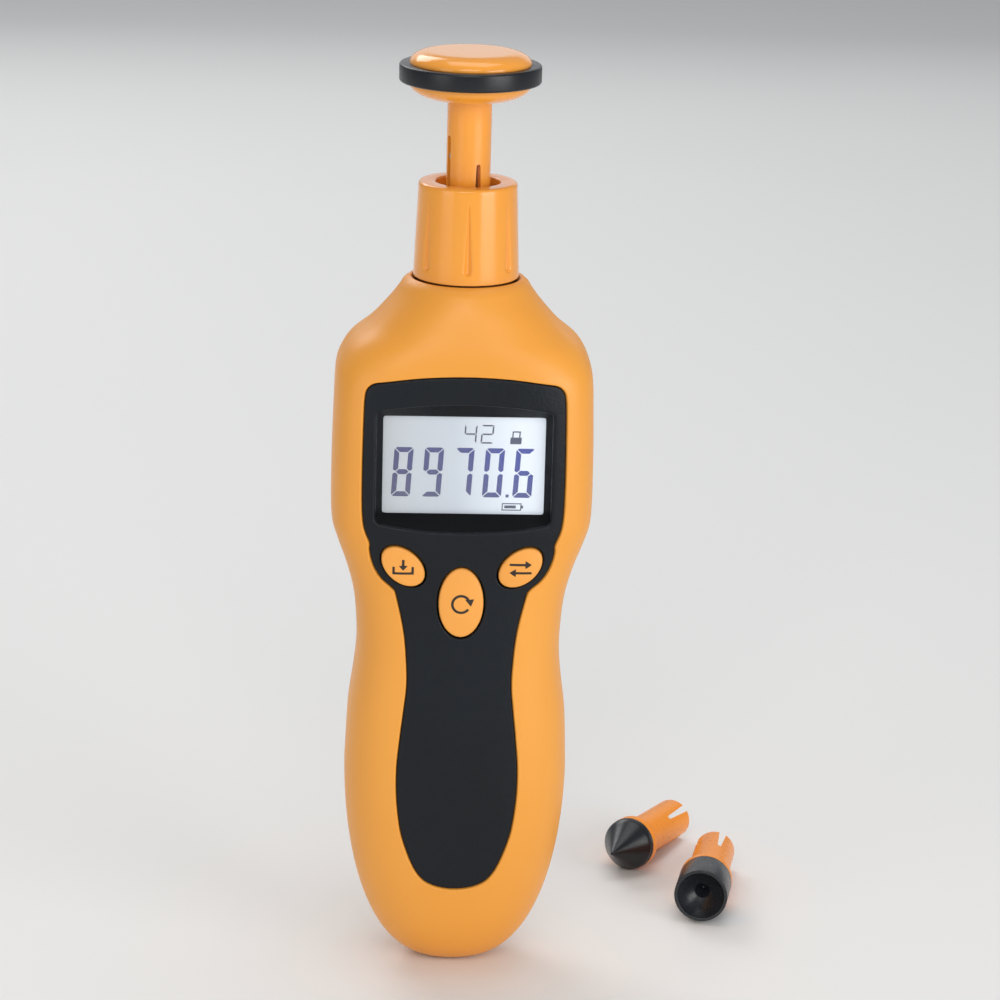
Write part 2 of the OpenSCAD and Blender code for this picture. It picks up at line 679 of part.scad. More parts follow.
module post(p, y, r, h) translate([p[0], y, p[1]]) facing_front() cylinder(r = r, h = h);
module posts(places, y, r, h) for (p = places) mirrored() post(p, y, r, h);
module slab(x, y, z, size) translate([x - size[0] / 2, y, z]) cube(size);
module neck_rib() translate([0, 0, neck_rib_top - neck_rib_t]) cylinder(r = neck_rib_r, h = neck_rib_t);
module shared_cuts() {
    translate([0, 0, sleeve_bottom - over]) cylinder(r = sleeve_out_r + touch, h = sleeve_h + 3 * over);
    translate([-inlet_face, 0, inlet_z]) rotate([0, -90, 0]) cylinder(r = inlet_dish_r, h = over);
    translate([-inlet_start, 0, inlet_z]) rotate([0, -90, 0])
        cylinder(r = inlet_hole_r, h = wall_t + 2 * over);
}

module front_housing() color(case_colour) difference() {
    case_half(0, -1);
    difference() {
        case_half(wall_t, -1, over, foot_z, hollow_top);
        posts(case_screw_places, -pillar_split / 2, pillar_r, case_d);
        posts(board_screw_places, -board_front - touch, board_pillar_r, case_d);
        for (s = cradle_shares) slab(0, battery_y - touch - case_d, battery_z + s * battery_size[2],
            [cradle_w, case_d, rib_t]);
        neck_rib();
    }
    difference() {
        front_prism(0, case_d) offset(delta = panel_gap) panel_outline();
        case_half(panel_sink + panel_t + touch, -1, over);
    }
    frame_block(panel_gap, 0);
    key_holes(key_gap + hole_step);
    shared_cuts();
    posts(case_screw_places, over, screw_r + touch, screw_bite + 2 * over);
    posts(board_screw_places, -board_front + over, board_screw_r + touch,
        board_screw_l - board_t + 2 * over);
}

module rear_housing() color(case_colour) difference() {
    case_half(0, 1);
    difference() {
        case_half(wall_t, 1, over, foot_z, hollow_top);
        posts(case_screw_places, case_d, pillar_r, case_d - pillar_split / 2);
        post([0, door_screw_z], door_face - door_boss_depth - touch, door_boss_r,
            door_screw_bite + 2 * over);
        slab(0, touch, battery_z - battery_gap - rib_t, [head_w, case_d, rib_t]);
        slab(0, battery_mid_y + clip_size[1] / 2, clip_top + battery_gap, [head_w, case_d, rib_t]);
        for (s = [1, -1]) slab(s * (battery_size[0] / 2 + battery_gap + rib_t / 2), touch,
            battery_z - battery_gap - over, [rib_t, case_d, battery_size[2] + clip_size[2]]);
        neck_rib();
    }
    door_opening(-door_gap, door_t);
    door_opening(door_ledge, wall_t);
    post([0, door_screw_z], case_d, door_boss_r + touch, case_d - door_face + door_boss_depth + touch);
    shared_cuts();
    for (p = case_screw_places) mirrored() {
        post(p, head_y(p), screw_r + screw_gap, case_d);
        post(p, case_d, screw_head_r + screw_gap, case_d - head_y(p));
    }
    post([0, door_screw_z], case_d, door_screw_r + touch,
        case_d - door_face + door_boss_depth + door_screw_bite + over);
}

module front_panel() color(panel_colour) difference() {
    intersection() {
        front_prism(0, case_d) panel_outline();
        case_half(panel_sink, -1);
    }
    difference() {
        case_half(panel_sink + panel_t, -1, over);
        frame_block(0, 0);
    }
    front_prism(-over, window_front) translate([-case_d, foot_z]) square([2 * case_d, case_h]);
    frame_mouth();
    key_holes(key_gap);
}

cell_w = screen_w + 2 * frame_slope;
cell_h = screen_h + 2 * frame_slope;
module display_window() color("white", 0.3) at_screen() front_prism(window_back, window_front)
    square([cell_w + frame_wall, cell_h + frame_wall], center = true);
cell_ledge = strip_w / 2;
module lcd_cell() color("silver") at_screen() {
    front_prism(cell_back + cell_t / 2, cell_back + cell_t)
        square([cell_w, cell_h - 2 * cell_ledge], center = true);
    front_prism(cell_back, cell_back + cell_t / 2) square([cell_w, cell_h], center = true);
}
module lcd_frame() color("white") at_screen() difference() {
    front_prism(board_front, window_back)
        square([cell_w + 2 * (touch + holder_wall), cell_h + 2 * (touch + holder_wall)], center = true);
    front_prism(cell_back, case_d) square([cell_w + 2 * touch, cell_h + 2 * touch], center = true);
    front_prism(board_front - over, case_d)
        square([cell_w - 2 * holder_wall, cell_h - 2 * holder_wall + 2 * touch], center = true);
}
module contact_strips() color("dimgray") at_screen() for (s = [1, -1])
    translate([0, 0, s * (cell_h / 2 - holder_wall - strip_w / 2)]) front_prism(board_front, cell_back)
        square([cell_w - 2 * holder_wall - 2 * touch, strip_w], center = true);

module main_board() color("darkgreen") difference() {
    front_prism(board_back, board_front) polygon([
        [-board_w / 2, board_top], [board_w / 2, board_top], [board_w / 2, board_step],
        [board_tail_w / 2, board_step], [board_tail_w / 2, board_bottom],
        [-board_tail_w / 2, board_bottom], [-board_tail_w / 2, board_step], [-board_w / 2, board_step]]);
    posts(board_screw_places, over, board_screw_r + touch, case_d);
}
chip_w = 12;
chip_t = 1.8;
crystal_r = 2.2;
crystal_h = 4;
can_r = 3.1;
can_h = 7.5;
part_row = 12; // distance between the parts along the board
module board_parts() color("black") {
    translate([-chip_w / 2, -board_back, screen_z - chip_w / 2]) cube([chip_w, chip_t, chip_w]);
    translate([chip_w / 2 + crystal_r, -board_back + crystal_h, screen_z + crystal_r]) facing_front()
        cylinder(r = crystal_r, h = crystal_h);
    translate([part_row, -board_back + can_h, screen_z - part_row]) facing_front()
        cylinder(r = can_r, h = can_h);
    translate([-chip_w / 4, -board_back, board_step - part_row]) cube([chip_w / 2, chip_t, chip_w / 2]);
}
module board_screws() color(steel) {
    posts(board_screw_places, -board_back + board_screw_head_t / 2, board_screw_r,
        board_screw_l + board_screw_head_t / 2);
    posts(board_screw_places, -board_back + board_screw_head_t, board_screw_head_r, board_screw_head_t);
}

module switch_base(x, z) translate([x, 0, z]) difference() {
    front_prism(board_front, switch_top) square([switch_w, switch_w], center = true);
    front_prism(plunger_floor, case_d) circle(r = plunger_r + plunger_gap);
}
module key_switches() color("dimgray") {
    switch_base(-side_key_x, side_key_z);
    switch_base(side_key_x, side_key_z);
    switch_base(0, measure_key_z);
}
module plunger(x, z) color("white") translate([x, 0, z])
    front_prism(plunger_floor + key_travel + plunger_gap, key_floor) circle(r = plunger_r);
module memory_plunger() plunger(-side_key_x, side_key_z);
module mode_plunger() plunger(side_key_x, side_key_z);
module measure_plunger() plunger(0, measure_key_z);

// A key is a domed oval cap with a rim below the case's wall
dome_share = 1.9; // radius of the dome, as a share of the key's length
module key_cap(size, top, rim) color(case_colour) facing_front() {
    dome_r = dome_share * max(size);
    intersection() {
        translate([0, 0, key_floor]) linear_extrude(top - key_floor) key_oval(size, 0);
        translate([0, 0, top - dome_r]) sphere(r = dome_r, $fn = 2 * small_fn);
    }
    translate([0, 0, rim - key_rim_t]) linear_extrude(key_rim_t) key_oval(size, key_rim);
}
module memory_key() memory_place() key_cap(side_key_size, side_key_face + key_proud, side_rim_top);
module mode_key() mode_place() key_cap(side_key_size, side_key_face + key_proud, side_rim_top);
module measure_key() measure_place()
    key_cap(measure_key_size, measure_key_face + key_proud, measure_rim_top);

module dc_jack() color("black") difference() {
    translate([-inlet_start, -board_back, inlet_z - inlet_block[2] / 2])
        cube([inlet_block[0], inlet_block[1], inlet_block[2]]);
    translate([-inlet_start + inlet_l, 0, inlet_z]) rotate([0, -90, 0])
        cylinder(r = inlet_r, h = 2 * inlet_l);
}
module dc_jack_pin() color(steel) translate([-inlet_start + inlet_l, 0, inlet_z]) rotate([0, -90, 0])
    cylinder(r = inlet_pin_r, h = inlet_l - over);

module battery() color("silver") {
    translate([-battery_size[0] / 2, battery_y, battery_z]) cube(battery_size);
    translate([-snap_pitch / 2, battery_mid_y, battery_top]) cylinder(r = snap_small_r, h = snap_h);
    translate([snap_pitch / 2, battery_mid_y, battery_top]) cylinder(r = snap_large_r, h = snap_h);
}
module battery_snap() color("black") difference() {
    translate([-clip_size[0] / 2, battery_mid_y - clip_size[1] / 2, battery_top + touch]) cube(clip_size);
    translate([-snap_pitch / 2, battery_mid_y, battery_top - over])
        cylinder(r = snap_small_r + touch, h = snap_h + over + touch);
    translate([snap_pitch / 2, battery_mid_y, battery_top - over])
        cylinder(r = snap_large_r + touch, h = snap_h + over + touch);
}
// A lead runs up out of the clip, bends forward and ends on the back of the board's tail
lead_sides = 8;
lead_steps = 12;
lead_rise = 4.5;
module lead(x) {
    start = [x, battery_mid_y, clip_top + touch];
    end = [x, -board_back, board_bottom + lead_rise];
    function at(t) = let (u = 1 - t)
        u ^ 3 * start + 3 * u ^ 2 * t * (start + [0, 0, lead_rise])
            + 3 * u * t ^ 2 * (end + [0, lead_rise, 0]) + t ^ 3 * end;
    function heading(t) = let (e = 0.01, d = at(min(t + e, 1)) - at(max(t - e, 0))) d / norm(d);
    points = [for (i = [0 : lead_steps]) let (t = i / lead_steps, f = heading(t), v = cross([1, 0, 0], f))
        each [for (k = [0 : lead_sides - 1]) let (a = 360 * k / lead_sides)
            at(t) + lead_r * (cos(a) * [1, 0, 0] + sin(a) * v)]];
    last = lead_steps * lead_sides;
    polyhedron(points, concat(
        [for (j = [0 : lead_steps - 1]) for (k = [0 : lead_sides - 1])
            let (p = j * lead_sides + k, q = j * lead_sides + (k + 1) % lead_sides)
            each [[p, q, q + lead_sides], [p, q + lead_sides, p + lead_sides]]],
        [for (k = [1 : lead_sides - 2]) each [[0, k + 1, k], [last, last + k, last + k + 1]]]));
}
module battery_lead_red() color("red") lead(snap_pitch / 4);
module battery_lead_black() color("black") lead(-snap_pitch / 4);

module case_screws() color(steel) for (p = case_screw_places) mirrored() {
    post(p, head_y(p) + screw_head_t, screw_head_r, screw_head_t);
    post(p, head_y(p) + screw_head_t / 2, screw_r, head_y(p) + screw_head_t / 2 + screw_bite);
}

module nose_sleeve() color("dimgray") difference() {
    union() {
        translate([0, 0, sleeve_bottom]) cylinder(r = sleeve_out_r, h = sleeve_h);
        translate([0, 0, flange_bottom]) cylinder(r = sleeve_flange_r, h = sleeve_flange_t);
    }
    translate([0, 0, window_z]) cylinder(r = sleeve_r, h = sleeve_h);
    translate([0, 0, sleeve_bottom - over]) cylinder(r = sleeve_r - over, h = sleeve_h);
}
module pickup_window() color("white", 0.4) translate([0, 0, window_z])
    cylinder(r = sleeve_r - touch, h = pickup_window_t);
module pickup_block() color("dimgray") difference() {
    translate([-pickup_block_size[0] / 2, -board_back, block_top - pickup_block_size[2]])
        cube(pickup_block_size);
    for (s = [1, -1]) translate([s * pickup_x, 0, block_top - pickup_block_size[2] + over])
        cylinder(r = pickup_r + touch, h = pickup_block_size[2]);
}
module pickup_pair() color("midnightblue") for (s = [1, -1])
    translate([s * pickup_x, 0, block_top - pickup_block_size[2] + over + touch]) {
        cylinder(r = pickup_r, h = pickup_block_size[2] - over - pickup_r - touch);
        translate([0, 0, pickup_block_size[2] - over - pickup_r - touch]) sphere(r = pickup_r);
    }

module battery_door() color(case_colour) difference() {
    union() {
        intersection() {
            door_prism(0);
            door_layer(0, door_t);
        }
        intersection() {
            door_prism(door_ledge + door_gap);
            door_layer(door_t - touch, door_depth);
        }
        post([0, door_screw_z], door_face - door_t, door_boss_r, door_boss_depth - door_t);
    }
    post([0, door_screw_z], case_d, door_screw_r + screw_gap, case_d);
    post([0, door_screw_z], case_d, door_head_r + screw_gap, case_d - door_head_y);
}
module door_screw() color(steel) {
    post([0, door_screw_z], door_head_y + door_head_t, door_head_r, door_head_t);
    post([0, door_screw_z], door_head_y + door_head_t / 2, door_screw_r,
        door_head_y + door_head_t / 2 - door_face + door_boss_depth + door_screw_bite);
}
// The pad is glued to the door and ends just short of the battery
module battery_pad() color("gray") {
    z = battery_z + battery_size[2] / 2;
    intersection() {
        slab(0, battery_back + wall_gap, z - pad_size[1] / 2, [pad_size[0], case_d, pad_size[1]]);
        case_half(door_depth + touch, 1, 0, z - pad_size[1], z + pad_size[1]);
    }
}

// Adapter, from the case upwards
collar_z = lip_z + collar_gap;
collar_top = collar_z + collar_h;
well_z = collar_top - well_h;
bearing_top = well_z - retainer_t;
spigot_z = collar_z - spigot_l;
bearing_low = spigot_z + spigot_lip_t;
bearing_high = bearing_top - bearing_w;
lip_hole_r = bearing_r - ring_t - touch;
seal_z = spigot_z + spigot_l / 3;
seal_depth = 0.7;
seal_proud = 0.05;
function collar_r_at(h) = collar_bottom_r + (collar_top_r - collar_bottom_r) * h / collar_h;
flute_out = flute_r / 4;
flute_point_r = flute_r / 8;
flute_tilt = atan((collar_r_at(flute_low) + flute_out - collar_r_at(flute_high)) / (flute_high - flute_low));
// A flute is round below and runs out to a point above
module flute() translate([0, -collar_r_at(flute_low) - flute_out, flute_low]) {
    sphere(r = flute_r);
    rotate([-flute_tilt, 0, 0])
        cylinder(r1 = flute_r, r2 = flute_point_r, h = (flute_high - flute_low) / cos(flute_tilt));
}
round_steps = 5;
module adapter_collar() color(tip_colour) difference() {
    rotate_extrude() polygon(concat(
        [[0, spigot_z], [spigot_r, spigot_z], [spigot_r, collar_z], [collar_bottom_r, collar_z]],
        [for (i = [0 : round_steps]) let (a = 90 * i / round_steps)
            [collar_top_r - collar_round * (1 - cos(a)), collar_top - collar_round * (1 - sin(a))]],
        [[0, collar_top]]));
    translate([0, 0, collar_z]) for (i = [0 : flute_count - 1])
        rotate([0, 0, 360 * i / flute_count]) flute();
    translate([0, 0, well_z - retainer_t]) cylinder(r = well_r, h = well_h + retainer_t + over);
    translate([0, 0, bearing_low]) cylinder(r = bearing_r + touch, h = collar_h + spigot_l);
    translate([0, 0, spigot_z - over]) cylinder(r = lip_hole_r, h = spigot_l);
    translate([0, 0, seal_z]) tube(spigot_r + over, spigot_r - seal_depth, seal_t);
}
module adapter_seal() color(rubber_colour) translate([0, 0, seal_z])
    tube(spigot_r + seal_proud, spigot_r - seal_depth + touch, seal_t);
module bearing_outer_rings() color(steel) for (z = [bearing_low, bearing_high]) translate([0, 0, z])
    race(bearing_r - ring_t, bearing_r, -1);
module bearing_inner_rings() color(steel) for (z = [bearing_low, bearing_high]) translate([0, 0, z])
    race(bearing_bore_r, bearing_bore_r + ring_t, 1);
pitch_r = (bearing_bore_r + bearing_r) / 2;
// A ring with the ball groove on its inside (side -1) or its outside (side 1)
module race(r_in, r_out, side) difference() {
    tube(r_out, r_in, bearing_w);
    translate([0, 0, bearing_w / 2]) rotate_extrude() translate([pitch_r, 0]) circle(r = ball_r + ball_gap);
}
module bearing_balls() color(steel) for (z = [bearing_low, bearing_high])
    translate([0, 0, z + bearing_w / 2]) for (i = [0 : ball_count - 1]) rotate([0, 0, 360 * i / ball_count])
        translate([pitch_r, 0, 0]) sphere(r = ball_r, $fn = small_fn);
module bearing_cages() color("peru") for (z = [bearing_low, bearing_high])
    translate([0, 0, z + bearing_w / 2]) difference() {
        translate([0, 0, -cage_h / 2]) tube(pitch_r + cage_t / 2, pitch_r - cage_t / 2, cage_h);
        for (i = [0 : ball_count - 1]) rotate([0, 0, 360 * i / ball_count])
            translate([pitch_r - over, 0, 0]) rotate([0, 90, 0]) cylinder(r = ball_r + touch, h = 2 * over);
    }
module outer_spacer() color(steel) translate([0, 0, bearing_low + bearing_w])
    tube(bearing_r, bearing_r - ring_t, bearing_high - bearing_low - bearing_w);
module inner_spacer() color(steel) translate([0, 0, bearing_low + bearing_w])
    tube(bearing_bore_r + ring_t, bearing_bore_r, bearing_high - bearing_low - bearing_w);
module bearing_retainer() color("dimgray") translate([0, 0, bearing_top])
    tube(well_r - touch, retainer_hole_r, retainer_t);

// Tips. A fitted tip's split end stands in the well, and its socket's bottom sits above the spindle.
stem_end = collar_top - stem_in;
socket_floor = stem_end + socket_l;
spindle_top = socket_floor - over;
pin_z = socket_floor - pin_drop;
disc_z = bearing_low - disc_hub_h - disc_t;
module spindle() color(steel) difference() {
    union() {
        translate([0, 0, bearing_top]) cylinder(r = spindle_r, h = spindle_top - bearing_top);
        translate([0, 0, disc_z]) cylinder(r = bearing_bore_r - touch, h = bearing_top - disc_z);
    }
    translate([0, 0, pin_z]) rotate([0, 0, slot_turn]) rotate([90, 0, 0])
        cylinder(r = pin_r + touch, h = 4 * spindle_r, center = true);
    translate([0, 0, disc_z - over]) cylinder(r = disc_screw_r + touch, h = disc_screw_l + 2 * over);
}
module drive_pin() color(steel) translate([0, 0, pin_z]) rotate([0, 0, slot_turn]) rotate([90, 0, 0])
    cylinder(r = pin_r, h = pin_l, center = true);
disc_window_shares = [0.55, 0.85];
module pickup_disc() color("black") translate([0, 0, disc_z]) difference() {
    union() {
        cylinder(r = disc_r, h = disc_t);
        cylinder(r = disc_hub_r, h = disc_t + disc_hub_h);
    }
    translate([0, 0, -over]) cylinder(r = bearing_bore_r, h = disc_t + disc_hub_h + 2 * over);
    for (i = [0 : disc_windows - 1]) rotate([0, 0, 360 * i / disc_windows]) translate([0, 0, -over])
        rotate_extrude(angle = 180 / disc_windows) translate([disc_r * disc_window_shares[0], 0])
            square([disc_r * (disc_window_shares[1] - disc_window_shares[0]), disc_t + 2 * over]);
}
module disc_screw() color(steel) translate([0, 0, disc_z]) {
    translate([0, 0, -disc_screw_head_t]) cylinder(r = disc_screw_head_r, h = disc_screw_head_t);
    cylinder(r = disc_screw_r, h = disc_screw_l);
}

// Cuts that turn a stem into a split socket, with the split end at z = 0
module split_cuts() {
    translate([0, 0, -over]) cylinder(r = spindle_r + socket_gap, h = socket_l + over);
    rotate([0, 0, slot_turn]) slot_pair(drive_slot_w, drive_slot_l);
    rotate([0, 0, slot_turn + 90]) slot_pair(relief_slot_w, relief_slot_l);
}
module slot_pair(w, l) {
    translate([-w / 2, -2 * stem_r, -over]) cube([w, 4 * stem_r, l - w / 2 + over]);
    translate([0, 0, l - w / 2]) rotate([90, 0, 0]) cylinder(r = w / 2, h = 4 * stem_r, center = true);
}
split_steps = 4;
function split_edge() = [for (i = [0 : split_steps]) let (a = 90 * i / split_steps)
    [stem_r - split_round * (1 - sin(a)), split_round * (1 - cos(a))]];

tyre_seat_r = wheel_r - tyre_t;
tyre_z = wheel_stem_l + hub_cone_h;
crown_steps = 6;
hub_rim = 0.2;
module wheel_hub() color(tip_colour) translate([0, 0, stem_end]) difference() {
    rotate_extrude() polygon(concat(
        [[0, 0]], split_edge(),
        [[stem_r, wheel_stem_l], [hub_r, tyre_z - hub_rim], [hub_r, tyre_z],
            [tyre_seat_r - touch, tyre_z], [tyre_seat_r - touch, tyre_z + tyre_w],
            [hub_r, tyre_z + tyre_w]],
        [for (i = [1 : crown_steps]) let (a = 90 * i / crown_steps)
            [hub_r - crown_round * (1 - cos(a)), tyre_z + tyre_w + crown_h * sin(a)]],
        [[0, tyre_z + tyre_w + crown_h]]));
    split_cuts();
}
module wheel_tyre() color(rubber_colour) translate([0, 0, stem_end + tyre_z]) rotate_extrude() polygon([
    [tyre_seat_r, 0], [wheel_r - tyre_chamfer, 0], [wheel_r, tyre_chamfer], [wheel_r, tyre_w - tyre_chamfer],
    [wheel_r - tyre_chamfer, tyre_w], [tyre_seat_r, tyre_w]]);

// A loose tip lies on the level of the case's foot, on its flange and its split end
lie_tilt = atan((flange_r - stem_r) / (holder_l - flange_t - split_round));
lie_z = foot_z + stem_r * cos(lie_tilt) - split_round * sin(lie_tilt);
module lying(at, turn, roll) translate([at[0], at[1], lie_z])
    rotate([0, 0, turn]) rotate([0, 90 - lie_tilt, 0]) rotate([0, 0, -slot_turn - roll]) children();
module cone_lying() lying([cone_x, cone_y], cone_turn, cone_roll) children();
module funnel_lying() lying([funnel_x, funnel_y], funnel_turn, funnel_roll) children();
module holder() difference() {
    rotate_extrude() polygon(concat(
        [[0, 0]], split_edge(),
        [[stem_r, holder_l - flange_t - flare_l], [flange_r, holder_l - flange_t], [flange_r, holder_l],
            [peg_r, holder_l], [peg_r, holder_l + peg_l], [0, holder_l + peg_l]]));
    split_cuts();
}
module cone_holder() color(tip_colour) cone_lying() holder();
module funnel_holder() color(tip_colour) funnel_lying() holder();
module cone_rubber() color(rubber_colour) cone_lying() translate([0, 0, holder_l])
    rotate_extrude() polygon([
        [peg_r + touch, 0], [flange_r, 0], [flange_r, cone_rim_l], [cone_point_r, cone_l],
        [0, cone_l], [0, peg_l], [peg_r + touch, peg_l]]);
module funnel_rubber() color(rubber_colour) funnel_lying() translate([0, 0, holder_l])
    rotate_extrude() polygon([
        [peg_r + touch, 0], [flange_r, 0], [flange_r, funnel_l], [funnel_mouth_r, funnel_l],
        [funnel_step_r, funnel_l - funnel_outer_l], [0, funnel_l - funnel_outer_l - funnel_inner_l],
        [0, peg_l], [peg_r + touch, peg_l]]);

front_housing();
rear_housing();
front_panel();
display_window();
lcd_cell();
lcd_frame();
contact_strips();
main_board();
board_parts();
board_screws();
key_switches();
dc_jack();
dc_jack_pin();
battery();
battery_snap();
battery_lead_red();
battery_lead_black();
case_screws();
nose_sleeve();
pickup_window();
pickup_block();
pickup_pair();
battery_door();
battery_pad();
door_screw();
memory_key();
memory_plunger();
mode_key();
mode_plunger();
measure_key();
measure_plunger();
adapter_collar();
adapter_seal();
bearing_outer_rings();
outer_spacer();
bearing_retainer();
bearing_balls();
bearing_cages();
spindle();
bearing_inner_rings();
inner_spacer();
drive_pin();
pickup_disc();
disc_screw();
wheel_hub();
wheel_tyre();
cone_holder();
cone_rubber();
funnel_holder();
funnel_rubber();
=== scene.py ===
"""Looks of a hand-held contact tachometer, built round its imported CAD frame.

+Z runs up the drive axis to the measuring wheel, the front panel faces -Y and -X is the user's left.
Sizes are in millimetres, as in the part's source; every mesh is turned into metres where it is made.
"""
import math

import bmesh
import bpy
import numpy as np
from mathutils import Matrix, Vector
from mathutils.geometry import delaunay_2d_cdt


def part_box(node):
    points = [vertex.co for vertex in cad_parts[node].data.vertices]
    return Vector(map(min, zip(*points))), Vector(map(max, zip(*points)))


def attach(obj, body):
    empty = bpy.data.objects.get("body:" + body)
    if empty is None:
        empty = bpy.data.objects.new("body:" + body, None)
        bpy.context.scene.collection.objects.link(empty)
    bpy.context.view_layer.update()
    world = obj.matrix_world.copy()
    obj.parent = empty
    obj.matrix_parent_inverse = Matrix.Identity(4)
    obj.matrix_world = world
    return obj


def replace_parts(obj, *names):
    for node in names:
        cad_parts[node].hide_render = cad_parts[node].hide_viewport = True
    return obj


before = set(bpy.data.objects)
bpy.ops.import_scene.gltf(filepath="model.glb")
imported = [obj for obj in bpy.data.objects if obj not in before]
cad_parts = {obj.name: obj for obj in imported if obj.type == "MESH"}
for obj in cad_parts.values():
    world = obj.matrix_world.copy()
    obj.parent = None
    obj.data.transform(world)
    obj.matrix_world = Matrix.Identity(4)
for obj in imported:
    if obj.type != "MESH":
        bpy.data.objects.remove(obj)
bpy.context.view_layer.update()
mm = 0.001

# ---------------------------------------------------------------- camera
# A long lens looks slightly down on the standing instrument and is panned, so that the instrument
# stands left of the middle and the two loose tips come into the picture at the lower right.
sensor_w = 36
lens_share = 3.449           # focal length as a share of the sensor's width
aim = np.array([0.0, 0.0, 35.0])
aim_across = 0.4606 - 0.5    # where the aim lies in the picture, from its middle
distance = 820.0
pitch, yaw, roll = (math.radians(a) for a in (16.5, 2.0, 1.35))
eye = aim + distance * np.array([
    -math.sin(yaw) * math.cos(pitch), -math.cos(yaw) * math.cos(pitch), math.sin(pitch)])


def unit(v):
    return v / np.linalg.norm(v)


ahead = unit(aim - eye)
right = unit(np.cross(ahead, [0, 0, 1]))
up = np.cross(right, ahead)
right = right * math.cos(roll) + up * math.sin(roll)
ahead = unit(ahead - aim_across / lens_share * right)
right = unit(right - np.dot(right, ahead) * ahead)
up = np.cross(right, ahead)
camera = bpy.data.objects.new("camera", bpy.data.cameras.new("camera"))
camera.data.sensor_width = sensor_w
camera.data.lens = sensor_w * lens_share
camera.data.clip_start = 0.01
camera.data.clip_end = 50
camera.matrix_world = Matrix.Translation(Vector(eye * mm)) @ Matrix(
    np.column_stack([right, up, -ahead]).tolist()).to_4x4()
bpy.context.collection.objects.link(camera)
bpy.context.scene.camera = camera

# ---------------------------------------------------------------- studio
# A pale seamless floor and large soft boxes: one over the camera, one on the right that stands on the
# floor and draws the bright streak on glossy plastic, a weak one on the left, one overhead, two behind.
floor_z, floor_reach = -81.3 * mm, 9.0


def hex_colour(code):
    """A web colour as the linear colour that a shader takes."""
    parts = [int(code[i:i + 2], 16) / 255 for i in (1, 3, 5)]
    return tuple(c / 12.92 if c <= 0.04045 else ((c + 0.055) / 1.055) ** 2.4 for c in parts) + (1,)


def feed(tree, node, inputs):
    """Gives each named input of a node a value, or joins it to another node's output."""
    for key, value in inputs.items():
        if isinstance(value, bpy.types.NodeSocket):
            tree.links.new(value, node.inputs[key])
        else:
            node.inputs[key].default_value = value


def add_node(tree, kind, inputs=None, **settings):
    """A new shader node with its own settings and its inputs."""
    node = tree.nodes.new("ShaderNode" + kind)
    for key, value in settings.items():
        setattr(node, key, value)
    feed(tree, node, inputs or {})
    return node


def object_coords(tree):
    return add_node(tree, "TexCoord").outputs["Object"]


def mapped(tree, value, low, high, to_low=0, to_high=1):
    """A value moved from one range to another, and held within it."""
    return add_node(tree, "MapRange", {"Value": value, "From Min": low, "From Max": high,
                                       "To Min": to_low, "To Max": to_high}).outputs["Result"]


def noise_value(tree, coords, scale, detail, low, high):
    """Fine noise, mapped to a range of values."""
    noise = add_node(tree, "TexNoise", {"Vector": coords, "Scale": scale, "Detail": detail})
    return mapped(tree, noise.outputs["Fac"], 0.3, 0.7, low, high)


def new_finish(name):
    """A new material and its node tree."""
    material = bpy.data.materials.new(name)
    material.use_nodes = True
    return material, material.node_tree


def shade(tree, inputs):
    feed(tree, tree.nodes["Principled BSDF"], inputs)


def floor_finish():
    """Pale matt board with the faintest change of gloss."""
    material, tree = new_finish("studio_floor")
    shade(tree, {"Base Color": hex_colour("#ecebe8"), "Specular IOR Level": 0.15,
                 "Roughness": noise_value(tree, object_coords(tree), 9, 3, 0.52, 0.6)})
    return material


floor_mesh = bpy.data.meshes.new("studio_floor")
floor_corners = [(floor_reach * x, floor_reach * y, floor_z) for x, y in ((-1, -1), (1, -1), (1, 1), (-1, 1))]
floor_mesh.from_pydata(floor_corners, [], [(0, 1, 2, 3)])
floor_mesh.materials.append(floor_finish())
floor = bpy.data.objects.new("studio_floor", floor_mesh)
bpy.context.collection.objects.link(floor)


def soft_box(name, place, width, height, power):
    """A rectangular lamp of a width, height (m) and power (W) that faces the instrument."""
    light = bpy.data.lights.new(name, "AREA")
    light.shape = "RECTANGLE"
    light.size, light.size_y = width, height
    light.energy = power
    lamp = bpy.data.objects.new(name, light)
    lamp.location = place
    toward = Vector((0, 0, 0.03)) - Vector(place)
    lamp.rotation_euler = toward.to_track_quat("-Z", "Y").to_euler()
    bpy.context.collection.objects.link(lamp)


soft_box("box_front", (-0.10, -1.30, 0.85), 0.9, 0.6, 6.0)
soft_box("box_right", (0.85, -0.80, 0.27), 0.75, 0.68, 6.2)
soft_box("box_left", (-0.90, -0.80, 0.27), 0.60, 0.65, 2.0)
soft_box("box_top", (0.05, 0.15, 1.25), 0.9, 0.7, 4.2)
soft_box("box_back", (0.0, 1.35, 0.42), 1.6, 0.5, 1.4)
soft_box("box_behind", (-0.60, 1.10, 0.95), 0.8, 0.6, 6.0)
world = bpy.data.worlds.new("studio_air")
bpy.context.scene.world = world
world.use_nodes = True
feed(world.node_tree, world.node_tree.nodes["Background"],
     {"Color": hex_colour("#dfe3ea"), "Strength": 0.42})
bpy.context.scene.view_settings.view_transform = "Standard"

# ---------------------------------------------------------------- case
# The hand-held body: two injection-moulded halves of orange satin plastic with a fine spark-eroded
# grain, parted on the drive axis and screwed together from behind. The front half has a pocket for the
# panel, the rear half an opening with a ledge for the battery door.
case_h, head_w, case_d, wall_t = 171.0, 61.6, 41.0, 2.6
lip_r, waist_share = 12.75, 0.4754
foot_z = -case_h * waist_share
lip_z = foot_z + case_h
foot_share, foot_power_share, foot_corner_share = 0.3, 0.36, 2.2
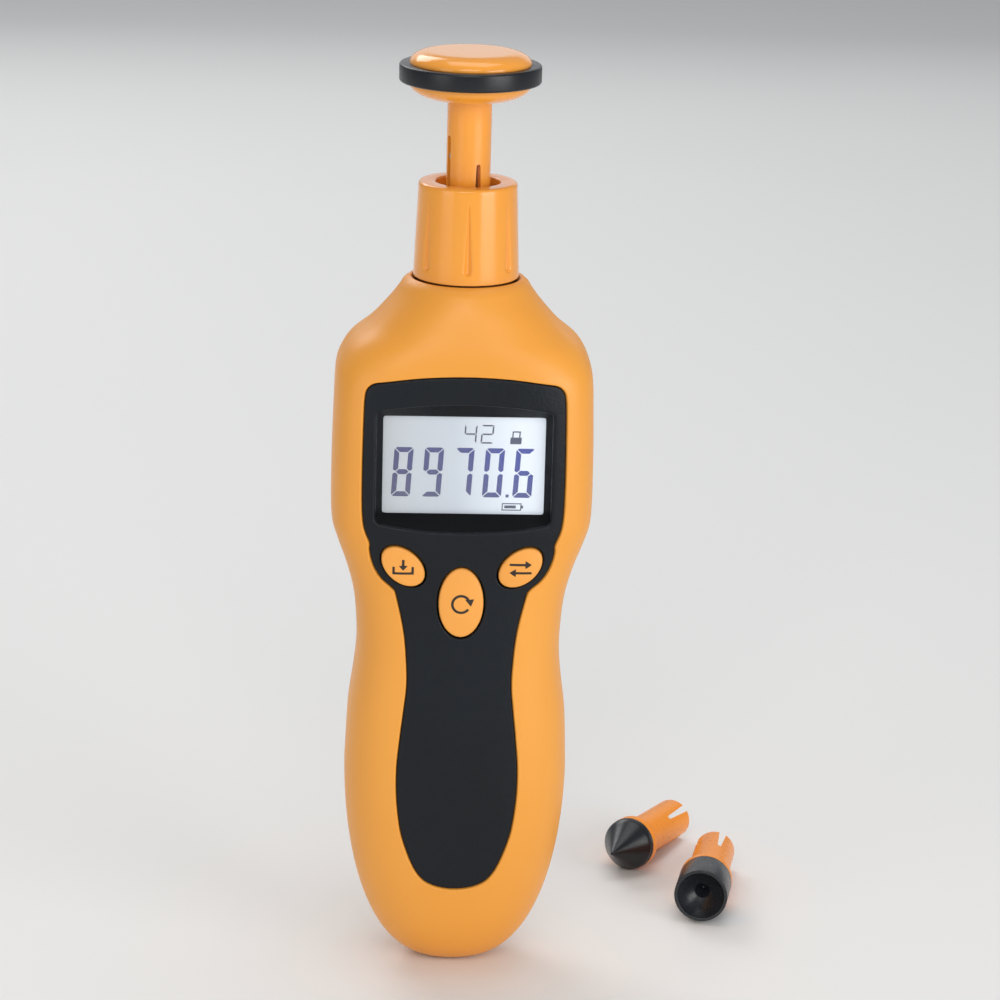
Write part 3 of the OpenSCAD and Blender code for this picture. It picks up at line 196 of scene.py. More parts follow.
# height share, shares of half width, front depth and rear depth past the lip's radius, corner roundness
case_shares = np.array([
    [0.3, 0.778, 0.857, 0.794, 2.9], [0.385, 0.739, 0.841, 0.775, 3.1],
    [0.432, 0.679, 0.833, 0.749, 3.2], [0.4754, 0.64, 0.833, 0.735, 3.3],
    [0.522, 0.652, 0.847, 0.735, 3.4], [0.563, 0.698, 0.86, 0.762, 3.5],
    [0.604, 0.802, 0.886, 0.815, 3.7], [0.641, 0.925, 0.926, 0.881, 4],
    [0.668, 0.99, 0.963, 0.947, 4.3], [0.738, 1, 1, 1, 4.5],
    [0.826, 0.98, 1, 1, 4.4], [0.873, 0.956, 0.968, 0.968, 4],
    [0.894, 0.891, 0.921, 0.921, 3.5], [0.914, 0.771, 0.847, 0.847, 3],
    [0.937, 0.526, 0.725, 0.725, 2.5], [0.966, 0.287, 0.54, 0.54, 2.15],
    [0.986, 0.147, 0.344, 0.344, 2], [0.9965, 0.082, 0.191, 0.191, 2],
    [1, 0, 0, 0, 2]])
row = np.arange(len(case_shares))
case_rises = case_shares[np.minimum(row + 1, row[-1])] - case_shares[np.maximum(row - 1, 0)]
slopes = case_rises / case_rises[:, :1]


def fair_curve(h, column):
    """The smooth curve through one column of the outline's table."""
    i = np.clip(np.searchsorted(case_shares[:, 0], h, side="right") - 1, 0, len(case_shares) - 2)
    d = case_shares[i + 1, 0] - case_shares[i, 0]
    t = (h - case_shares[i, 0]) / d
    return ((2 * t**3 - 3 * t**2 + 1) * case_shares[i, column] + (t**3 - 2 * t**2 + t) * d * slopes[i, column]
            + (3 * t**2 - 2 * t**3) * case_shares[i + 1, column] + (t**3 - t**2) * d * slopes[i + 1, column])


# Stations up the case, close together at the foot where the outline turns under
foot_stations, upper_stations, foot_crowding = 900, 2600, 1.39
foot_turns = (np.linspace(0, 1, foot_stations) ** foot_crowding) * math.pi / 2
station_z = np.concatenate([
    foot_z + case_h * foot_share * (1 - np.cos(foot_turns)),
    np.linspace(foot_z + case_h * foot_share, lip_z, upper_stations)[1:]])
station_h = np.clip((station_z - foot_z) / case_h, 0, 1)
station_cap = np.concatenate([np.sin(foot_turns) ** (2 * foot_power_share), np.ones(upper_stations - 1)])


def station_size(size, column):
    return (lip_r + (size / 2 - lip_r) * fair_curve(np.maximum(station_h, foot_share), column)) * station_cap


station_w = station_size(head_w, 1)
station_front = station_size(case_d, 2)
station_rear = station_size(case_d, 3)
station_n = fair_curve(np.maximum(station_h, foot_share), 4)
station_n = np.where(station_h >= foot_share, station_n,
                     foot_corner_share + (station_n - foot_corner_share) * station_h / foot_share)
# The way along the outline from the middle of the foot: the pattern's second coordinate
station_run = np.concatenate([[0], np.cumsum(np.hypot(np.diff(station_z), np.diff(station_w)))])
run_end = station_run[-1]
pattern_r = 25.0             # the pattern's first coordinate is this radius times the turn
foot_flat = 0.05             # within this run of the foot's middle the face looks straight down


def section_at(side, at, stations):
    """Half width, depth and corner roundness of one half, by the height or by the run along the outline."""
    columns = station_w, station_front if side < 0 else station_rear, station_n
    return tuple(np.interp(at, stations, column) for column in columns)


def case_at_run(side, turn, run):
    """The point of the outer face at a turn round the axis and a run up the outline."""
    run = np.clip(run, 0, run_end)
    a, b, n = section_at(side, run, station_run)
    c, s = np.cos(turn), np.sin(turn)
    r = (np.abs(c / np.maximum(a, 1e-6)) ** n + np.abs(s / np.maximum(b, 1e-6)) ** n) ** (-1 / n)
    return np.stack([r * c, side * r * s, np.interp(run, station_run, station_z)], axis=-1)


def case_place(side):
    """Gives the function that sets a pattern point, at a depth, on one half of the case."""
    def place(u, v, depth):
        turn, run, turn_step, run_step = u / pattern_r, v, 2e-3, 0.12
        along = case_at_run(side, turn + turn_step, run) - case_at_run(side, turn - turn_step, run)
        upward = case_at_run(side, turn, np.minimum(run + run_step, run_end)) \
            - case_at_run(side, turn, np.maximum(run - run_step, 0))
        normal = np.cross(along, upward) * side
        size = np.linalg.norm(normal, axis=-1, keepdims=True)
        normal = np.where(size > 1e-9, normal / np.maximum(size, 1e-9), 0)
        # The middle of the foot faces straight down, and the parting plane stays flat
        normal[run < foot_flat] = (0, 0, -1)
        normal[(np.abs(np.sin(turn)) < 1e-9) & (run >= foot_flat), 1] = 0
        normal = normal / np.maximum(np.linalg.norm(normal, axis=-1, keepdims=True), 1e-9)
        return case_at_run(side, turn, run) - normal * np.asarray(depth)[..., None]
    return place


def on_case(side, x, z):
    """Pattern point over a place that is given across and up, as the case is seen from that side."""
    run = np.interp(z, station_z, station_run)
    a, b, n = section_at(side, run, station_run)
    y = b * np.maximum(1 - np.abs(x / a) ** n, 0) ** (1 / n)
    return np.stack([np.arctan2(y, x) * pattern_r, run], axis=-1)


def within(points, loop):
    """Which of the points lie inside a closed loop."""
    x, y = points[:, 0], points[:, 1]
    inside = np.zeros(len(points), bool)
    ax, ay = loop[-1]
    for bx, by in loop:
        if ay != by:
            inside ^= ((by > y) != (ay > y)) & (x < (ax - bx) * (y - by) / (ay - by) + bx)
        ax, ay = bx, by
    return inside


def even_loop(loop, pitch):
    """The same closed outline with points about a pitch apart, turning anticlockwise."""
    loop = np.asarray(loop, float)
    ring = np.vstack([loop, loop[:1]])
    if np.sum(ring[:-1, 0] * ring[1:, 1] - ring[1:, 0] * ring[:-1, 1]) < 0:
        ring = ring[::-1]
    way = np.concatenate([[0], np.cumsum(np.linalg.norm(np.diff(ring, axis=0), axis=1))])
    count = max(8, int(round(way[-1] / pitch)))
    stops = np.linspace(0, way[-1], count, endpoint=False)
    return np.stack([np.interp(stops, way, ring[:, 0]), np.interp(stops, way, ring[:, 1])], axis=1)


def grown(loop, by):
    """An anticlockwise loop moved outwards."""
    tangent = np.roll(loop, -1, axis=0) - np.roll(loop, 1, axis=0)
    tangent = tangent / np.maximum(np.linalg.norm(tangent, axis=1, keepdims=True), 1e-9)
    return loop + by * np.stack([tangent[:, 1], -tangent[:, 0]], axis=1)


def quarter(steps):
    """Angles of a quarter turn, in equal steps."""
    return [math.pi / 2 * i / steps for i in range(steps + 1)]


def full_turn(count):
    return np.arange(count) * 2 * math.pi / count


def round_over(radius, base=0.0, steps=3):
    """Offsets into the material and depths of a rounded edge, from the wall to the face."""
    rows = [(radius * (1 - math.cos(t)), base + radius * (1 - math.sin(t))) for t in quarter(steps)]
    return rows + [(radius * 1.5, base)]


def hole_loops(hole, rows):
    """A pattern's loops for a hole whose edge follows rows of offset and depth."""
    return [(grown(hole, offset), depth, i == 0) for i, (offset, depth) in enumerate(rows)]


def fill_pattern(border, loops, creases, pitch, grid_depth=None):
    """Triangles of a pattern. The border is an outer loop (points, depth), a loop within it has a third
    item that is true where it is a hole's edge, and creases are open lines (points, depth)."""
    points, depths, edges = [], [], []

    def add_line(line, depth, closed=True):
        start = len(points)
        points.extend(map(tuple, line))
        depths.extend(np.broadcast_to(depth, len(line)))
        last = len(line) if closed else len(line) - 1
        edges.extend((start + i, start + (i + 1) % len(line)) for i in range(last))

    add_line(*border)
    for line, depth, _ in loops:
        add_line(line, depth)
    for line, depth in creases:
        add_line(line, depth, False)

    def in_material(places):
        keep = within(places, border[0])
        for line, _, cut in loops:
            if cut:
                keep &= ~within(places, line)
        return keep

    fixed = np.array(points)
    low, high = fixed.min(axis=0), fixed.max(axis=0)
    counts = np.maximum(np.round((high - low) / pitch).astype(int), 1)
    us, vs = (np.linspace(low[i], high[i], counts[i] + 1)[1:-1] for i in (0, 1))
    grid = np.stack(np.meshgrid(us, vs, indexing="ij"), axis=-1).reshape(-1, 2)
    grid[:, 0] += (np.tile(np.arange(len(vs)), len(us)) % 2) * pitch / 2 - pitch / 4
    grid = grid[in_material(grid)]
    near = np.full(len(grid), np.inf)
    batch = 400                  # points compared at a time, to keep the tables small
    for start in range(0, len(fixed), batch):
        part = fixed[start:start + batch]
        near = np.minimum(near, np.linalg.norm(grid[:, None, :] - part[None, :, :], axis=2).min(axis=1))
    grid = grid[near > 0.6 * pitch]
    points.extend(map(tuple, grid))
    depths.extend(grid_depth(grid) if grid_depth else np.zeros(len(grid)))
    verts, _, faces, origins, _, _ = delaunay_2d_cdt([Vector(p) for p in points], edges, [], 0, 1e-5)
    verts, faces = np.array([tuple(v) for v in verts]), np.array([tuple(f) for f in faces])
    depth = np.array([depths[o[0]] if o else 0.0 for o in origins])
    return verts, depth, faces[in_material(verts[faces].mean(axis=1))]


def cast_shell(mesh, verts, depth, faces, place, inner):
    """Adds the outer face, the inner face at its own depth, and the walls between their edges."""
    tops, unders = ([mesh.verts.new(p * mm) for p in place(verts[:, 0], verts[:, 1], d)]
                    for d in (depth, np.broadcast_to(inner, len(verts))))
    for f in faces:
        mesh.faces.new([tops[i] for i in f])
        mesh.faces.new([unders[i] for i in reversed(f)])
    used = dict.fromkeys((f[i], f[(i + 1) % 3]) for f in faces for i in range(3))
    for a, b in used:
        if (b, a) not in used:
            mesh.faces.new([tops[b], tops[a], unders[a], unders[b]])


def finish_mesh(mesh, name, finish, body, sharp=38, merge=0.004):
    """Closes a mesh, marks its hard edges and makes it a named piece that rides on a body."""
    bmesh.ops.remove_doubles(mesh, verts=mesh.verts, dist=merge * mm)
    bmesh.ops.dissolve_degenerate(mesh, edges=mesh.edges, dist=1e-7)
    bmesh.ops.delete(mesh, geom=[v for v in mesh.verts if not v.link_faces], context="VERTS")
    bmesh.ops.recalc_face_normals(mesh, faces=mesh.faces)
    for edge in mesh.edges:
        if len(edge.link_faces) == 2:
            edge.smooth = edge.calc_face_angle(0) < math.radians(sharp)
    for face in mesh.faces:
        face.smooth = True
    data = bpy.data.meshes.new(name)
    mesh.to_mesh(data)
    mesh.free()
    data.materials.append(finish)
    piece = bpy.data.objects.new(name, data)
    bpy.context.collection.objects.link(piece)
    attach(piece, body)
    return piece


def grain_group():
    """Shared effect: the fine grain of a moulded surface, with slow changes of tone and gloss."""
    group = bpy.data.node_groups.new("moulded_grain", "ShaderNodeTree")
    for way, names in (("INPUT", ("Grain Scale", "Tone Scale")), ("OUTPUT", ("Height", "Tone", "Speckle"))):
        for name in names:
            group.interface.new_socket(name, in_out=way, socket_type="NodeSocketFloat")
    given = group.nodes.new("NodeGroupInput").outputs
    coords = object_coords(group)
    coarse = add_node(group, "Math", {0: given["Grain Scale"], 1: 0.37}, operation="MULTIPLY").outputs[0]
    fine, pits, slow = (
        add_node(group, "TexNoise", {"Vector": coords, "Scale": scale, "Detail": detail}).outputs["Fac"]
        for scale, detail in ((given["Grain Scale"], 2), (coarse, 4), (given["Tone Scale"], 3)))
    height = add_node(group, "Math", {0: fine, 1: pits}).outputs[0]
    feed(group, group.nodes.new("NodeGroupOutput"), {"Height": height, "Tone": slow, "Speckle": pits})
    return group


moulded_grain = grain_group()


def relief(tree, height, distance, strength=1.0):
    """The normals of a surface with small bumps of a real depth (m)."""
    bump = add_node(tree, "Bump", {"Height": height, "Distance": distance, "Strength": strength})
    return bump.outputs["Normal"]


def moulded(name, code, dark_code, rough, grain_scale=2600, grain_depth=0.012, tone_scale=22,
            bump=0.5, coat=0.0, specular=0.5, metal=0.0):
    """A moulded or cast finish: two close tones, a range of roughness, and a grain of a real depth."""
    material, tree = new_finish(name)
    effect = add_node(tree, "Group", {"Grain Scale": grain_scale, "Tone Scale": tone_scale},
                      node_tree=moulded_grain).outputs
    lightness = mapped(tree, effect["Tone"], 0.35, 0.6, 0.35, 1)
    tone = add_node(tree, "Mix", {"A": hex_colour(dark_code), "B": hex_colour(code), "Factor": lightness},
                    data_type="RGBA")
    shade(tree, {"Base Color": tone.outputs["Result"], "Metallic": metal, "Coat Weight": coat,
                 "Coat Roughness": 0.12, "Specular IOR Level": specular,
                 "Roughness": mapped(tree, effect["Speckle"], 0.35, 0.65, *rough),
                 "Normal": relief(tree, effect["Height"], grain_depth * mm, bump)})
    return material


case_finish = moulded("case_plastic", "#f0a23d", "#ea9a34", (0.36, 0.46), 3200, 0.010, 16, 0.35)

panel_top = lip_z - 19.6
panel_h = panel_top - foot_z - 23.5
panel_w, panel_gap, panel_pitch = 47.2, 0.12, 0.7
panel_half_shares = [
    (0, 0), (0.437, 0.0035), (0.79, 0.0125), (0.9, 0.0165), (0.965, 0.026), (0.99, 0.042), (1, 0.09),
    (1.006, 0.21), (0.99, 0.279), (0.925, 0.316), (0.919, 0.322), (0.924, 0.33), (0.905, 0.35),
    (0.86, 0.371), (0.79, 0.388), (0.683, 0.404), (0.648, 0.418), (0.565, 0.488), (0.53, 0.558),
    (0.529, 0.598), (0.549, 0.635), (0.585, 0.695), (0.612, 0.75), (0.612, 0.805), (0.583, 0.86),
    (0.54, 0.899), (0.44, 0.95), (0.345, 0.978), (0.245, 0.991), (0.12, 0.998), (0, 1)]


def panel_outline():
    """The panel's outline, a smooth curve through its stations, as seen from the front."""
    last = len(panel_half_shares) - 1

    def station(i):
        k = -i if i < 0 else 2 * last - i if i > last else i
        flip = -1 if i < 0 or i > last else 1
        return np.array([flip * panel_half_shares[k][0], panel_half_shares[k][1]])

    half = []
    for i in range(last):
        a, b, c, d = (station(i + k) for k in (-1, 0, 1, 2))
        for t in np.arange(8) / 8:
            bend, twist = 2 * a - 5 * b + 4 * c - d, 3 * b - a - 3 * c + d
            p = (2 * b + (c - a) * t + bend * t**2 + twist * t**3) / 2
            half.append((p[0] * panel_w / 2, panel_top - p[1] * panel_h))
    half.append((0, panel_top - panel_h))
    return even_loop(half + [(-x, z) for x, z in half[-2:0:-1]], panel_pitch)


def ring_at(x, z, radius, count=40):
    turns = full_turn(count)
    return np.stack([x + radius * np.cos(turns), z + radius * np.sin(turns)], axis=1)


def rounded_box(width, height, radius, z, pitch=0.7):
    """A rounded rectangle round x = 0, seen straight on."""
    corners = []
    for cx, cz, start in ((1, 1, 0), (-1, 1, 90), (-1, -1, 180), (1, -1, 270)):
        for turn in np.radians(start + np.arange(0, 91, 7.5)):
            corners.append((cx * (width / 2 - radius) + radius * math.cos(turn),
                            z + cz * (height / 2 - radius) + radius * math.sin(turn)))
    return even_loop(corners, pitch)


panel_edge = panel_outline()
screen_z = panel_top - 22
inlet_z = screen_z - 4.1
inlet_hole_r, inlet_dish_r, inlet_dish_t, inlet_dish_slope = 3.5, 4.9, 0.5, 0.9
seam_round, lip_round, lip_wall_h, lip_wall_t = 0.16, 0.35, 4.9, 1.5
screw_places = [(17, lip_z - 15.2), (12, foot_z + 15.3)]
screw_hole_r = 2.9
(_, _, door_low), (_, _, door_high) = (np.array(corner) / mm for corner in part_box("battery_door"))
door_w, door_corner_r, door_t, door_ledge, door_gap = 30.6, 4.0, 1.3, 1.1, 0.2
door_h, door_z = door_high - door_low, (door_high + door_low) / 2


def inlet_arc(radius):
    """Half a circle round the supply inlet, on the edge of a half's pattern."""
    run = np.interp(inlet_z, station_z, station_run)
    a = np.interp(run, station_run, station_w)
    turns = np.radians(np.linspace(-90, 90, 19))
    return np.stack([math.pi * pattern_r - radius * np.cos(turns) * pattern_r / a,
                     run + radius * np.sin(turns)], axis=1)


def case_half(name, side, holes, replaced):
    """Casts one half: the pattern with its holes, rounded at the seam and at the lip."""
    across, pitch, row_points = math.pi * pattern_r, 1.25, 90
    notch = inlet_arc(inlet_hole_r)
    (_, notch_low), (_, notch_run), (_, notch_high) = notch[0], notch[len(notch) // 2], notch[-1]
    beside = np.array([0.2, 0.4, 0.6, 0.8, 1.0, 1.2, 1.4])       # close points where the dish meets the seam
    below = np.concatenate([np.arange(0.4, notch_low - 2.4, pitch), notch_low - beside[::-1]])
    above = np.concatenate([notch_high + beside, np.arange(notch_high + 2.4, run_end - 0.6, pitch)])
    border = np.array(
        [(0, 0), (across / 2, 0), (across, 0)] + [(across, v) for v in below] + [tuple(p) for p in notch]
        + [(across, v) for v in above] + [(u, run_end) for u in np.linspace(across, 0, row_points)]
        + [(0, v) for v in np.arange(run_end - 0.6, 0.4, -pitch)])
    # Lines that follow the seam on both sides, the inlet's dish and the lip
    lines = []
    runs = np.arange(3, run_end - 1, pitch)
    clear = np.abs(runs - notch_run) > inlet_dish_r + 0.6
    for gap in (0.03, 0.08, seam_round, 0.3):
        turn = gap / np.interp(runs, station_run, station_w) * pattern_r
        lines.append((np.stack([turn, runs], axis=1), 0.0))
        for part in (clear & (runs < notch_run), clear & (runs > notch_run)):
            lines.append((np.stack([across - turn[part], runs[part]], axis=1), 0.0))
    lines += [(inlet_arc(inlet_hole_r + out), 0.0) for out in (0.1, 0.3, 0.55, 0.8, 1.05, 1.25, 1.4)]
    lip_row = np.linspace(0.6, across - 0.6, row_points)
    lines += [(np.stack([lip_row, np.full(row_points, run_end - drop)], axis=1), 0.0)
              for drop in (0.03, 0.1, 0.2, lip_round, 0.55)]
    loops = [(on_case(side, line[:, 0], line[:, 1]), depth, cut)
             for hole, rows in holes for line, depth, cut in hole_loops(hole, rows)]
    verts, depth, faces = fill_pattern((border, 0.0), loops, lines, pitch)
    # The seam's small groove and the rounded lip lie on top of what the lines give
    turn, run = verts[:, 0] / pattern_r, verts[:, 1]
    near_seam = np.minimum(turn, math.pi - turn) < 0.25
    gap = np.clip(seam_round - np.abs(case_at_run(side, turn, run)[:, 1]), 0, seam_round) * near_seam
    groove = (seam_round - np.sqrt(seam_round**2 - gap**2)) * np.clip((run - 0.5) / 2, 0, 1)
    drop = np.clip(lip_round - (run_end - run), 0, lip_round)
    depth = np.maximum(np.maximum(depth, groove), lip_round - np.sqrt(lip_round**2 - drop**2))
    # So does the dish round the supply inlet, which shows as a shallow notch in the outline
    wide = np.interp(notch_run, station_run, station_w) / pattern_r
    reach = np.hypot((across - verts[:, 0]) * wide, run - notch_run)
    share = np.clip((inlet_dish_r - reach) / inlet_dish_slope, 0, 1)
    depth += inlet_dish_t * share * share * (3 - 2 * share)
    inner = np.where(run > run_end - lip_wall_h, lip_wall_t, wall_t)
    mesh = bmesh.new()
    cast_shell(mesh, verts, depth, faces, case_place(side), inner)
    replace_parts(finish_mesh(mesh, name, case_finish, "instrument"), replaced)


case_half("case_front", -1, [(grown(panel_edge, panel_gap), round_over(0.3))], "front_housing")

door_opening = rounded_box(door_w - 2 * door_ledge, door_h - 2 * door_ledge, door_corner_r - door_ledge,
                           door_z)
ledge_out, seat_depth = door_ledge + door_gap, door_t + 0.05
door_rows = [(0, door_t + 0.2), (0.15, seat_depth), (ledge_out - 0.02, seat_depth), (ledge_out, 0.2),
             (ledge_out + 0.06, 0.08), (ledge_out + 0.2, 0.0), (ledge_out + 0.35, 0.0)]
screw_rows = [(ring_at(s * x, z, screw_hole_r), round_over(0.25)) for x, z in screw_places for s in (1, -1)]
case_half("case_rear", 1, [(door_opening, door_rows)] + screw_rows, "rear_housing")

# ---------------------------------------------------------------- front panel
# One moulding of black plastic with a leathery grain, laid in the pocket of the front half. Its edges
# are rounded, three holes let the keys through, and its mouth opens onto the sunken display frame.
panel_finish = moulded("panel_plastic", "#12171d", "#0e1216", (0.36, 0.5), 1500, 0.11, 30, 0.9, specular=0.25)
panel_sink, panel_t, panel_round, hole_round, mouth_round, mouth_corner = 0.35, 1.5, 0.45, 0.3, 0.7, 0.8
screen_w, screen_h, frame_slope, frame_bow = 37.7, 23.4, 1.75, 1.9
side_key_z, side_key_size, key_gap = screen_z - 23.85, (11.7, 7.7), 0.45
# Each key's place across and up, its lean in degrees, and its size
key_plans = {"memory": (-13.7, side_key_z, -41.0, side_key_size),
             "mode": (13.7, side_key_z, 41.0, side_key_size),
             "measure": (0, screen_z - 32.7, 0, (10.5, 17.0))}


def view_place(side):
    """As case_place, for a pattern drawn straight across and up."""
    lay = case_place(side)

    def place(u, v, depth):
        flat = on_case(side, u, v)
        return lay(flat[..., 0], flat[..., 1], depth)
    return place


def leaning_oval(x, z, lean, size, grow, count=72):
    """An oval about a place, leaning, and grown by the same width all round."""
    u, v = ((side / 2 + grow) * wave(full_turn(count)) for side, wave in zip(size, (np.cos, np.sin)))
    c, s = math.cos(math.radians(lean)), math.sin(math.radians(lean))
    return np.stack([x + u * c - v * s, z + u * s + v * c], axis=1)


def mouth_loop(width, height, rise, corner):
    """The display frame's mouth: straight sides, softly bowed top and bottom, small round corners."""
    step, pitch = 0.25, 0.6
    half = [(u * width / 2, height / 2 + rise * (1 - u * u)) for u in np.linspace(1, -1, 41)]
    loop = even_loop(half + [(-x, -y) for x, y in half], step)
    for _ in range(int(corner / step * 6)):
        loop = (np.roll(loop, 1, axis=0) + loop * 2 + np.roll(loop, -1, axis=0)) / 4
    return even_loop(loop + (0, screen_z), pitch)


def rim_loops(edge, rows):
    """A pattern's loops for the rounded edge of a piece; the first row is the pattern's border."""
    return [(grown(edge, -offset), depth, False) for offset, depth in rows[1:]]


mouth = mouth_loop(screen_w + 2 * frame_slope, screen_h + 2 * frame_slope, frame_bow, mouth_corner)


def front_panel():
    """Cuts the key holes and the mouth into the panel's outline and casts it against the case."""
    rows = round_over(panel_round, panel_sink)
    loops = rim_loops(panel_edge, rows)
    for plan in key_plans.values():
        loops += hole_loops(leaning_oval(*plan, key_gap), round_over(hole_round, panel_sink))
    loops += hole_loops(mouth, round_over(mouth_round, panel_sink, 4))
    verts, depth, faces = fill_pattern((panel_edge, rows[0][1]), loops, [], 1.1,
                                       lambda p: np.full(len(p), panel_sink))
    # A point that no line gives lies at the panel's own depth
    depth = np.maximum(depth, panel_sink)
    mesh = bmesh.new()
    cast_shell(mesh, verts, depth, faces, view_place(-1), panel_sink + panel_t)
    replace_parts(finish_mesh(mesh, "front_panel_moulding", panel_finish, "instrument"), "front_panel")


front_panel()

# ---------------------------------------------------------------- display frame
# The sunken frame round the screen, part of the panel's moulding but smoother: four sloping sides that
# run from the bowed mouth down to the straight edges of the screen.
# Coloured darker than the panel it belongs to: painted shade in the sunken frame.
frame_shade_finish = moulded("display_frame_painted_shade", "#0a0c0f", "#07080a", (0.42, 0.5), 2400, 0.0015, 30, 0.2,
                       specular=0.15)
screen_sink = 4.2            # how far the window lies behind the panel's face
window_y = -(case_d / 2 - panel_sink) + screen_sink


def by_side(loop, each=40):
    """The same number of points on each of a loop's four sides, from corner to corner."""
    def corner(points, sx, sz):
        return int(np.argmax(sx * points[:, 0] + sz * (points[:, 1] - screen_z)))

    loop = np.roll(loop, -corner(loop, 1, 1), axis=0)
    marks = [0, corner(loop, -1, 1), corner(loop, -1, -1), corner(loop, 1, -1), len(loop)]
    stops = np.concatenate([np.linspace(a, b, each, endpoint=False) for a, b in zip(marks, marks[1:])])
    ring = np.vstack([loop, loop[:1]])
    return np.stack([np.interp(stops, np.arange(len(ring)), ring[:, i]) for i in (0, 1)], axis=1)


def join_rings(mesh, rings, closed=False):
    """Faces from each ring of points to the next, and from the last to the first where it is closed."""
    for a, b in zip(rings, rings[1:] + rings[:1] if closed else rings[1:]):
        for i in range(len(a)):
            j = (i + 1) % len(a)
            mesh.faces.new([a[i], a[j], b[j], b[i]])


def display_frame():
    """A sloping ring from the mouth to the window, closed by an outer wall behind the panel."""
    wide, narrow = by_side(mouth), by_side(mouth_loop(screen_w, screen_h, 0.0, 0.15))
    count, wall_w, wall_h = len(wide), 1.02, 1.03
    surface = view_place(-1)(wide[:, 0], wide[:, 1], np.full(count, panel_sink + mouth_round))
    front = np.stack([wide[:, 0], np.minimum(surface[:, 1], window_y - 1.2), wide[:, 1]], axis=1)
    back = np.stack([narrow[:, 0], np.full(count, window_y), narrow[:, 1]], axis=1)
    wall = np.stack([wide[:, 0] * wall_w, np.full(count, window_y + 0.02),
                     screen_z + (wide[:, 1] - screen_z) * wall_h], axis=1)
    rows = [wall] + [front + (back - front) * t for t in (0, 0.04, 0.5, 0.96, 1)]
    mesh = bmesh.new()
    join_rings(mesh, [[mesh.verts.new(p * mm) for p in row] for row in rows], closed=True)
    finish_mesh(mesh, "display_frame", frame_shade_finish, "instrument", sharp=30)


display_frame()

# ---------------------------------------------------------------- keys
# Three domed keys of the case's orange, moulded in a softer satin, each in its own hole with a dark
# gap round it. They carry plain printed signs: an arrow into a tray, a pair of arrows and a ring.
key_finish = moulded("key_plastic", "#f4a548", "#efa041", (0.38, 0.5), 2600, 0.008, 40, 0.3)
print_finish = moulded("key_print", "#2b2118", "#241b14", (0.5, 0.62), 3000, 0.004, 60, 0.2)
key_proud, key_round, key_foot, dome_share, print_proud = 0.9, 0.45, 3.0, 1.9, 0.03


def key_cap(key, x, z, lean, size):
    """Rings of ovals: a domed top with a rounded edge, and a skirt that reaches below the panel."""
    face = -float(view_place(-1)(np.array([x]), np.array([z]), np.array([panel_sink]))[0, 1])
    top, dome = face + key_proud, dome_share * max(size)
    c, s = math.cos(math.radians(lean)), math.sin(math.radians(lean))
    mesh = bmesh.new()

    def on_key(u, v, depth):
        """Points along and across the key, at a depth below its dome."""
        y = top - dome + np.sqrt(dome * dome - u * u - v * v) - depth
        return np.stack([x + u * c - v * s, -y, z + u * s + v * c], axis=-1)

    def ring(inset, share, depth, turns=full_turn(96)):
        half_u, half_v = ((side / 2 - inset) * share for side in size)
        return [mesh.verts.new(p * mm) for p in on_key(half_u * np.cos(turns), half_v * np.sin(turns), depth)]

    rings = [ring(key_round, share, 0) for share in (0.12, 0.3, 0.5, 0.7, 0.86, 0.96)]
    rings += [ring(key_round * (1 - math.sin(t)), 1, key_round * (1 - math.cos(t))) for t in quarter(4)]
    rings.append(ring(0, 1, key_foot))
    join_rings(mesh, rings)
    middle = mesh.verts.new(Vector((x, -top, z)) * mm)
    for a, b in zip(rings[0], rings[0][1:] + rings[0][:1]):
        mesh.faces.new([middle, a, b])
    mesh.faces.new(rings[-1])
    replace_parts(finish_mesh(mesh, key + "_key_cap", key_finish, key + "_key"), key + "_key")
    return on_key


def key_sign(key, on_key, lean, shapes):
    """Flat printed shapes that follow the key's dome; they stand upright whatever the key's lean."""
    c, s = math.cos(math.radians(-lean)), math.sin(math.radians(-lean))
    mesh = bmesh.new()
    for shape in shapes:
        pitch = 0.22 if len(shape) > 12 else 0.3         # closer points on the round ring
        verts, depth, faces = fill_pattern((even_loop(shape, pitch), 0.0), [], [], 0.35)
        cast_shell(mesh, verts, depth - print_proud, faces,
                   lambda u, v, d: on_key(u * c - v * s, u * s + v * c, d), print_proud)
    finish_mesh(mesh, key + "_sign", print_finish, key + "_key", merge=0.0005)


def arrow(x0, x1, z, thick=0.55, head=1.5, barb=1.0):
    """A straight arrow from x0 to x1."""
    neck = x1 - math.copysign(head, x1 - x0)
    return [(x0, z - thick / 2), (neck, z - thick / 2), (neck, z - barb), (x1, z), (neck, z + barb),
            (neck, z + thick / 2), (x0, z + thick / 2)]


tray = [(-2.5, 0.2), (-2.5, -1.7), (2.5, -1.7), (2.5, 0.2), (1.95, 0.2), (1.95, -1.15), (-1.95, -1.15),
        (-1.95, 0.2)]
sweep = np.radians(np.linspace(35, 325, 40))
open_ring = [(r * math.cos(t), r * math.sin(t)) for r, way in ((2.35, 1), (1.75, -1)) for t in sweep[::way]]
key_signs = {"memory": [[(z, -x) for x, z in arrow(-1.9, 0.75, 0, 0.6, 1.2, 1.05)], tray],
             "mode": [arrow(-2.6, 2.6, 1.0), arrow(2.6, -2.6, -1.0)],
             "measure": [open_ring, [(0.95, 1.15), (3.05, 1.3), (2.3, -0.5)]]}
domes = {key: key_cap(key, *plan) for key, plan in key_plans.items()}
for key, plan in key_plans.items():
    key_sign(key, domes[key], plan[2], key_signs[key])

# ---------------------------------------------------------------- display
# A liquid crystal cell behind a clear window. The lit segments are thin ink-like shapes between the two:
# five large slanted digits with a point, two small thin ones above, and plain signs for a lock and a
# battery.
window_t, ink_t = 1.0, 0.02
ink_y = window_y + window_t + ink_t
lean_share = math.tan(math.radians(3.6))


def coordinate(tree, coords, axis):
    """One of the three coordinates of a point on the surface."""
    return add_node(tree, "SeparateXYZ", {0: coords}).outputs[axis]


